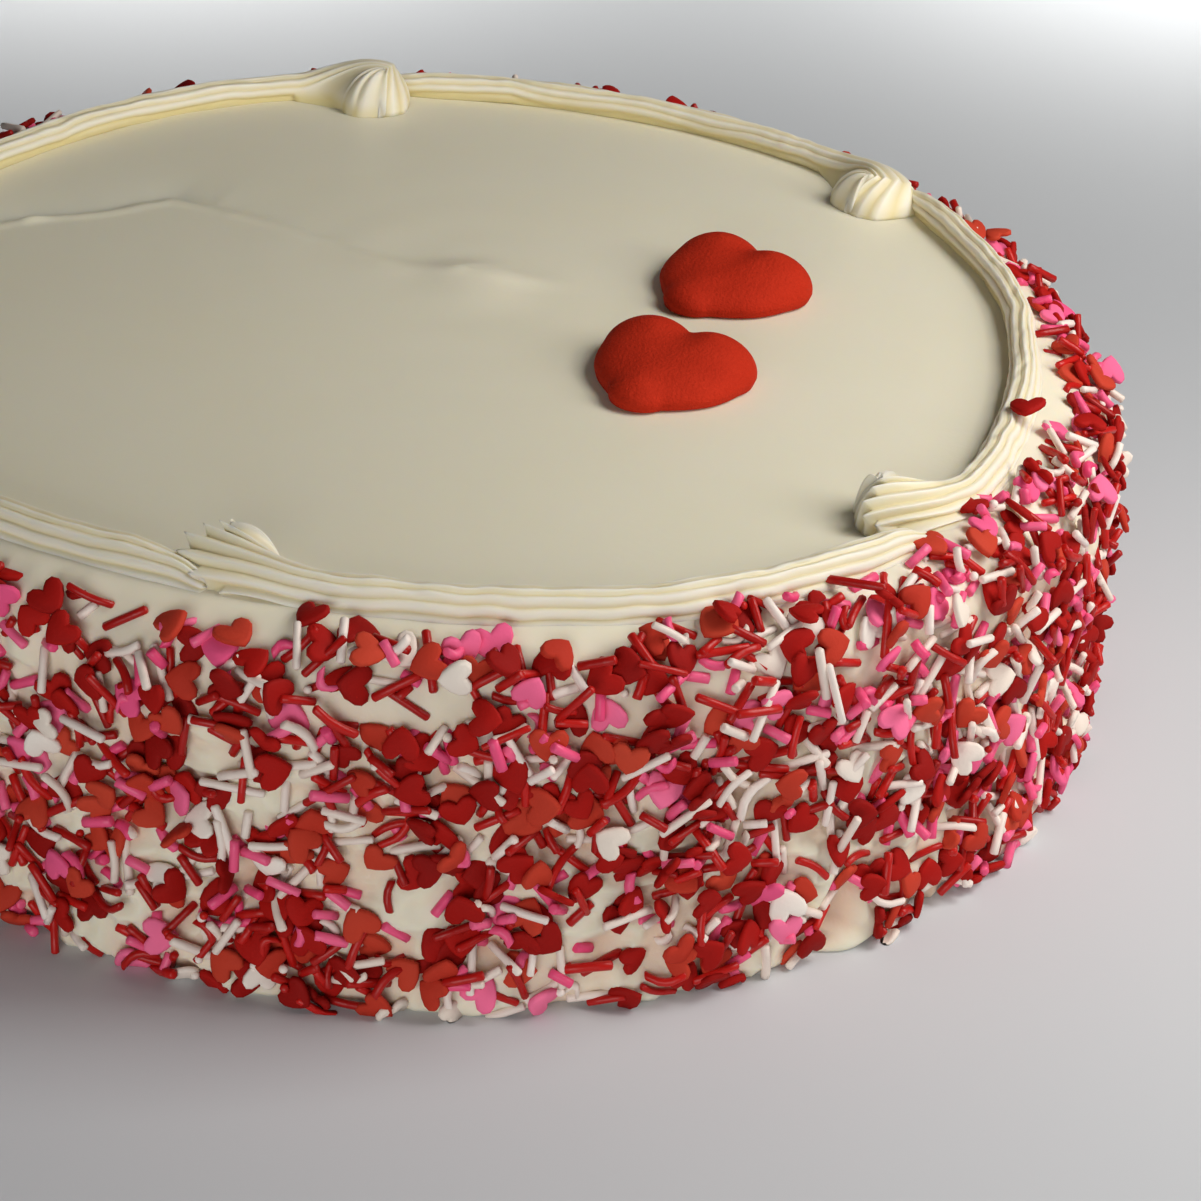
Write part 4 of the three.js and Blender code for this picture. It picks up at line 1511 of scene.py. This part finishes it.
    def throw(
        self, thrown: dict, kind: Kind, angle: float, distance: float, random: np.random.Generator,
        place: Placed | None = None,
    ) -> bool:
        """Turns one sprinkle to lie on the icing or on others, and files it by colour.

        Args:
            thrown: the sprinkles so far, by kind and colour.
            kind: its shape.
            angle: its place round the cake, in radians.
            distance: its place up the side, in millimetres.
            random: the draw.
            place: how it lies where the photograph singles it out.

        Returns:
            Whether it stayed where it was thrown.
        """
        spin = math.radians(place.spin) if place else random.uniform(0, math.tau)
        share = 0.5 if kind is Kind.STRAND else 1.0
        lean = random.uniform(35, 80) * share * (random.uniform() < self.stood_up)
        lean = place.lean if place else lean * (distance < self.flat_above)
        if kind is Kind.HEART:
            cast = self.cast_heart(random, place)
        elif kind is Kind.STRAND:
            cast = self.cast_strand(spin, random, place)
        else:
            cast = self.cast_dot(random)
        rested = self.rest(angle, distance, cast)
        if rested is None:
            return False
        lift, slope_round, slope_up = rested
        lift += place.lift if place else 0.0
        here, at = np.array([angle]), np.array([distance])
        point = Vector(self.cake.surface(here, at, 0.0)[0])
        frame = self.frame(here, at)
        normal = Vector((-slope_round, -slope_up, 1)).normalized()
        tipped = Vector((random.normal(0, cast.slack), random.normal(0, cast.slack), 0))
        normal = (normal + tipped).normalized()
        turned = Vector((0, 0, 1)).rotation_difference(normal).to_matrix() @ Matrix.Rotation(spin, 3, "Z")
        if lean and kind is not Kind.DOT:
            turned = turned @ Matrix.Rotation(math.radians(lean), 3, "Y" if kind is Kind.STRAND else "X")
            lift += 1.6 * math.sin(math.radians(lean))
        matrix = Matrix.Translation(point + frame.col[2] * lift) @ (frame @ turned @ cast.scale).to_4x4()
        tone = self.draw(cast.mix, random)
        thrown.setdefault(f"{kind.value}_{tone.value}", []).append((matrix, cast.bend, random.uniform()))
        return True

    @staticmethod
    def draw(mix: dict[Tone, float], random: np.random.Generator) -> Tone:
        """Draws one colour from a mix of shares."""
        shares = np.array(list(mix.values())) / sum(mix.values())
        return list(mix)[int(random.choice(len(mix), p=shares))]

    def frame(self, angle: Array, distance: Array) -> Matrix:
        """Finds the directions at a place on the smooth side.

        Args:
            angle: its angle round the axis, in radians.
            distance: its place up the side, in millimetres.

        Returns:
            The directions round, up and outwards, as columns.
        """
        step = 0.4
        turn = step / self.cake.base_radius

        def heading(turned: float, climbed: float) -> Vector:
            """Heads through two places, one ahead and one as far behind.

            Args:
                turned: how far ahead round, in radians.
                climbed: how far ahead up, in millimetres.

            Returns:
                The direction, of length one.
            """
            ahead = self.cake.surface(angle + turned, distance + climbed, 0.0)
            behind = self.cake.surface(angle - turned, distance - climbed, 0.0)
            return Vector((ahead - behind)[0]).normalized()

        around, up = heading(turn, 0.0), heading(0.0, step)
        out = around.cross(up).normalized()
        return Matrix((around, out.cross(around), out)).transposed()

    def drawn_in(self, points: Array) -> float:
        """Returns the factor that keeps one sprinkle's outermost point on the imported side."""
        return min(1.0, self.farthest / float(np.hypot(points[:, 0], points[:, 1]).max()))

    def build(self, finishes: dict[str, bpy.types.Material]) -> list[bpy.types.Object]:
        """Makes one piece for each kind and colour.

        Args:
            finishes: the finish for each piece's name.

        Returns:
            The pieces, which stand for the coated body together with the icing.
        """
        pieces = []
        templates = {
            Kind.HEART.value: self.heart_template(),
            Kind.STRAND.value: self.strand_template(),
            Kind.DOT.value: self.dot_template(),
        }
        for name, rows in sorted(self.scatter().items()):
            kind, colour = name.split("_")
            points, faces = templates[kind]
            all_points, all_faces, tones = [], [], []
            for number, (matrix, bend, tone) in enumerate(rows):
                shaped = points.copy()
                if bend:
                    shaped[:, 1] += bend * (shaped[:, 0] ** 2) * 8
                    shaped[:, 0] *= 1 - 0.06 * abs(bend)
                grown = shaped @ np.array(matrix.to_3x3()).T + np.array(matrix.translation)
                grown[:, :2] *= self.drawn_in(grown)
                grown[:, 2] = np.maximum(grown[:, 2], 0.1)
                all_points.append(grown * MILLIMETRE)
                all_faces += [[i + number * len(points) for i in face] for face in faces]
                tones += [tone] * len(points)
            mesh = bpy.data.meshes.new(name)
            mesh.from_pydata(np.concatenate(all_points).tolist(), [], all_faces)
            mesh.attributes.new("tone", "FLOAT", "POINT").data.foreach_set("value", tones)
            mesh.polygons.foreach_set("use_smooth", [True] * len(mesh.polygons))
            pieces.append(add_piece(name, mesh, finishes[name], "iced_cake"))
        return pieces


@dataclass(frozen=True)
class SoftLight:
    """One square light: place, aim and side in metres, watts, colour and spread in degrees."""

    name: str
    place: tuple[float, float, float]
    aim: tuple[float, float, float]
    side: float
    power: float
    colour: str
    spread: float = 180.0


CAKE_MIDDLE = (0.0, 0.0, 0.04)
LIGHTS = (  # two on the right, a weak fill in front and two that brighten the floor behind
    SoftLight("window", (0.26, -0.02, 0.33), CAKE_MIDDLE, 0.16, 0.84, "FFFBF6"),
    SoftLight("low_window", (0.33, -0.1, 0.22), CAKE_MIDDLE, 0.16, 0.42, "FFFBF6"),
    SoftLight("fill", (-0.1, -0.8, 0.12), CAKE_MIDDLE, 0.5, 3.4, "FAFAF8"),
    SoftLight("backdrop_left", (-0.15, 0.64, 0.3), (-0.15, 0.46, 0.0), 0.2, 0.6, "FFFDFA", 58.0),
    SoftLight("backdrop_right", (0.2, 0.64, 0.3), (0.2, 0.46, 0.0), 0.2, 0.42, "FFFDFA", 58.0),
)


@dataclass
class Studio:
    """A pale floor, soft light from the right and the camera of the photograph, in metres."""

    frame_pixels: float = 1201.0
    focal_pixels: float = 2800.0
    distance: float = 0.4883
    pitch: float = math.radians(30.23)
    roll: float = math.radians(5.43)
    target: tuple[float, float, float] = (0.0295, 0.0, 0.0037)
    floor_reach: float = 4.0
    sky_strength: float = 0.05

    def camera(self) -> None:
        """Makes the camera that looks down on the cake's front."""
        data = bpy.data.cameras.new("camera")
        data.sensor_width = 36.0
        data.lens = self.focal_pixels / self.frame_pixels * data.sensor_width
        data.dof.use_dof = False
        back = Vector((0, -math.cos(self.pitch), math.sin(self.pitch)))
        right = (-back).cross(Vector((0, 0, 1))).normalized()
        up = right.cross(-back)
        axis_x = right * math.cos(self.roll) + up * math.sin(self.roll)
        axis_y = up * math.cos(self.roll) - right * math.sin(self.roll)
        pose = Matrix((axis_x, axis_y, back)).transposed().to_4x4()
        pose.translation = Vector(self.target) + back * self.distance
        camera = bpy.data.objects.new("camera", data)
        camera.matrix_world = pose
        bpy.context.scene.collection.objects.link(camera)
        bpy.context.scene.camera = camera

    def hang(self, light: SoftLight) -> None:
        """Adds one soft square light.

        Args:
            light: the light.
        """
        data = bpy.data.lights.new(light.name, "AREA")
        data.spread = math.radians(light.spread)
        data.shape = "SQUARE"
        data.size = light.side
        data.energy = light.power
        data.color = linear(light.colour)[:3]
        lamp = bpy.data.objects.new(light.name, data)
        lamp.location = light.place
        lamp.rotation_euler = (Vector(light.aim) - Vector(light.place)).to_track_quat("-Z", "Y").to_euler()
        bpy.context.scene.collection.objects.link(lamp)

    def floor(self) -> None:
        """Lays the pale floor under the cake."""
        bm = bmesh.new()
        bmesh.ops.create_grid(bm, x_segments=2, y_segments=2, size=self.floor_reach)
        mesh = bpy.data.meshes.new("floor")
        bm.to_mesh(mesh)
        bm.free()
        # Painted board is pale and matt, so it throws a soft even light back under the icing.
        made = bpy.data.materials.new("matt_board")
        made.use_nodes = True
        shader = made.node_tree.nodes["Principled BSDF"]
        shader.inputs["Base Color"].default_value = linear("D2D6DA")
        shader.inputs["Roughness"].default_value = 0.7
        mesh.materials.append(made)
        floor = bpy.data.objects.new("floor", mesh)
        bpy.context.scene.collection.objects.link(floor)

    def light(self) -> None:
        """Hangs the soft lights under a dim pale sky and shows colours as they are."""
        for light in LIGHTS:
            self.hang(light)
        world = bpy.data.worlds.new("pale_room")
        world.use_nodes = True
        sky = world.node_tree.nodes["Background"]
        sky.inputs["Color"].default_value = linear("ECEEF2")
        sky.inputs["Strength"].default_value = self.sky_strength
        bpy.context.scene.world = world
        bpy.context.scene.view_settings.view_transform = "Standard"
        bpy.context.scene.view_settings.look = "None"


def main() -> None:
    """Builds the cake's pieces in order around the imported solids."""
    logging.basicConfig(level=logging.INFO, format="%(message)s")
    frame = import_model()
    LOG.info("dressing %d solids", len(frame["nodes"]))
    icing = WhippedIcing().material()
    # The piped icing's yellow second colour is painted shade in its grooves and on the rope's low inner
    # flank.
    piped = WhippedIcing("piped_cream_cheese_icing", "F2EDDF", "E3D49E").material()
    # Dye bleeds out of the wet sugar, and the pink in the folds under the coat is also painted shade and
    # red light thrown back by the sprinkles.
    coated = WhippedIcing("dye_and_shade_tinted_icing", "F0EAD4", "F2CDB2", grain_mm=1.9, torn=16.0).material()
    candy = SugaredCandy().material()
    path = BorderPath()
    top_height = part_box("candy_heart_near")[0][2] / MILLIMETRE - GAP
    cake = IcedCake(path, top_height)
    cake.build_side(coated)
    cake.build_top(icing)
    ends = [shell.degrees for shell in SHELLS[1:]] + [SHELLS[0].degrees + 360]
    for number, (shell, end) in enumerate(zip(SHELLS, ends), 1):
        PipedRun(path, number, shell, math.radians(end), top_height).build(piped)
    CandyHeart("candy_near", "candy_heart_near", math.radians(64.5)).build(candy)
    CandyHeart("candy_far", "candy_heart_far", math.radians(53)).build(candy)
    SprinkleCoat(cake).build({name: sugar.material() for name, sugar in SUGARS.items()})
    studio = Studio()
    studio.floor()
    studio.light()
    studio.camera()


if __name__ == "__main__":
    main()
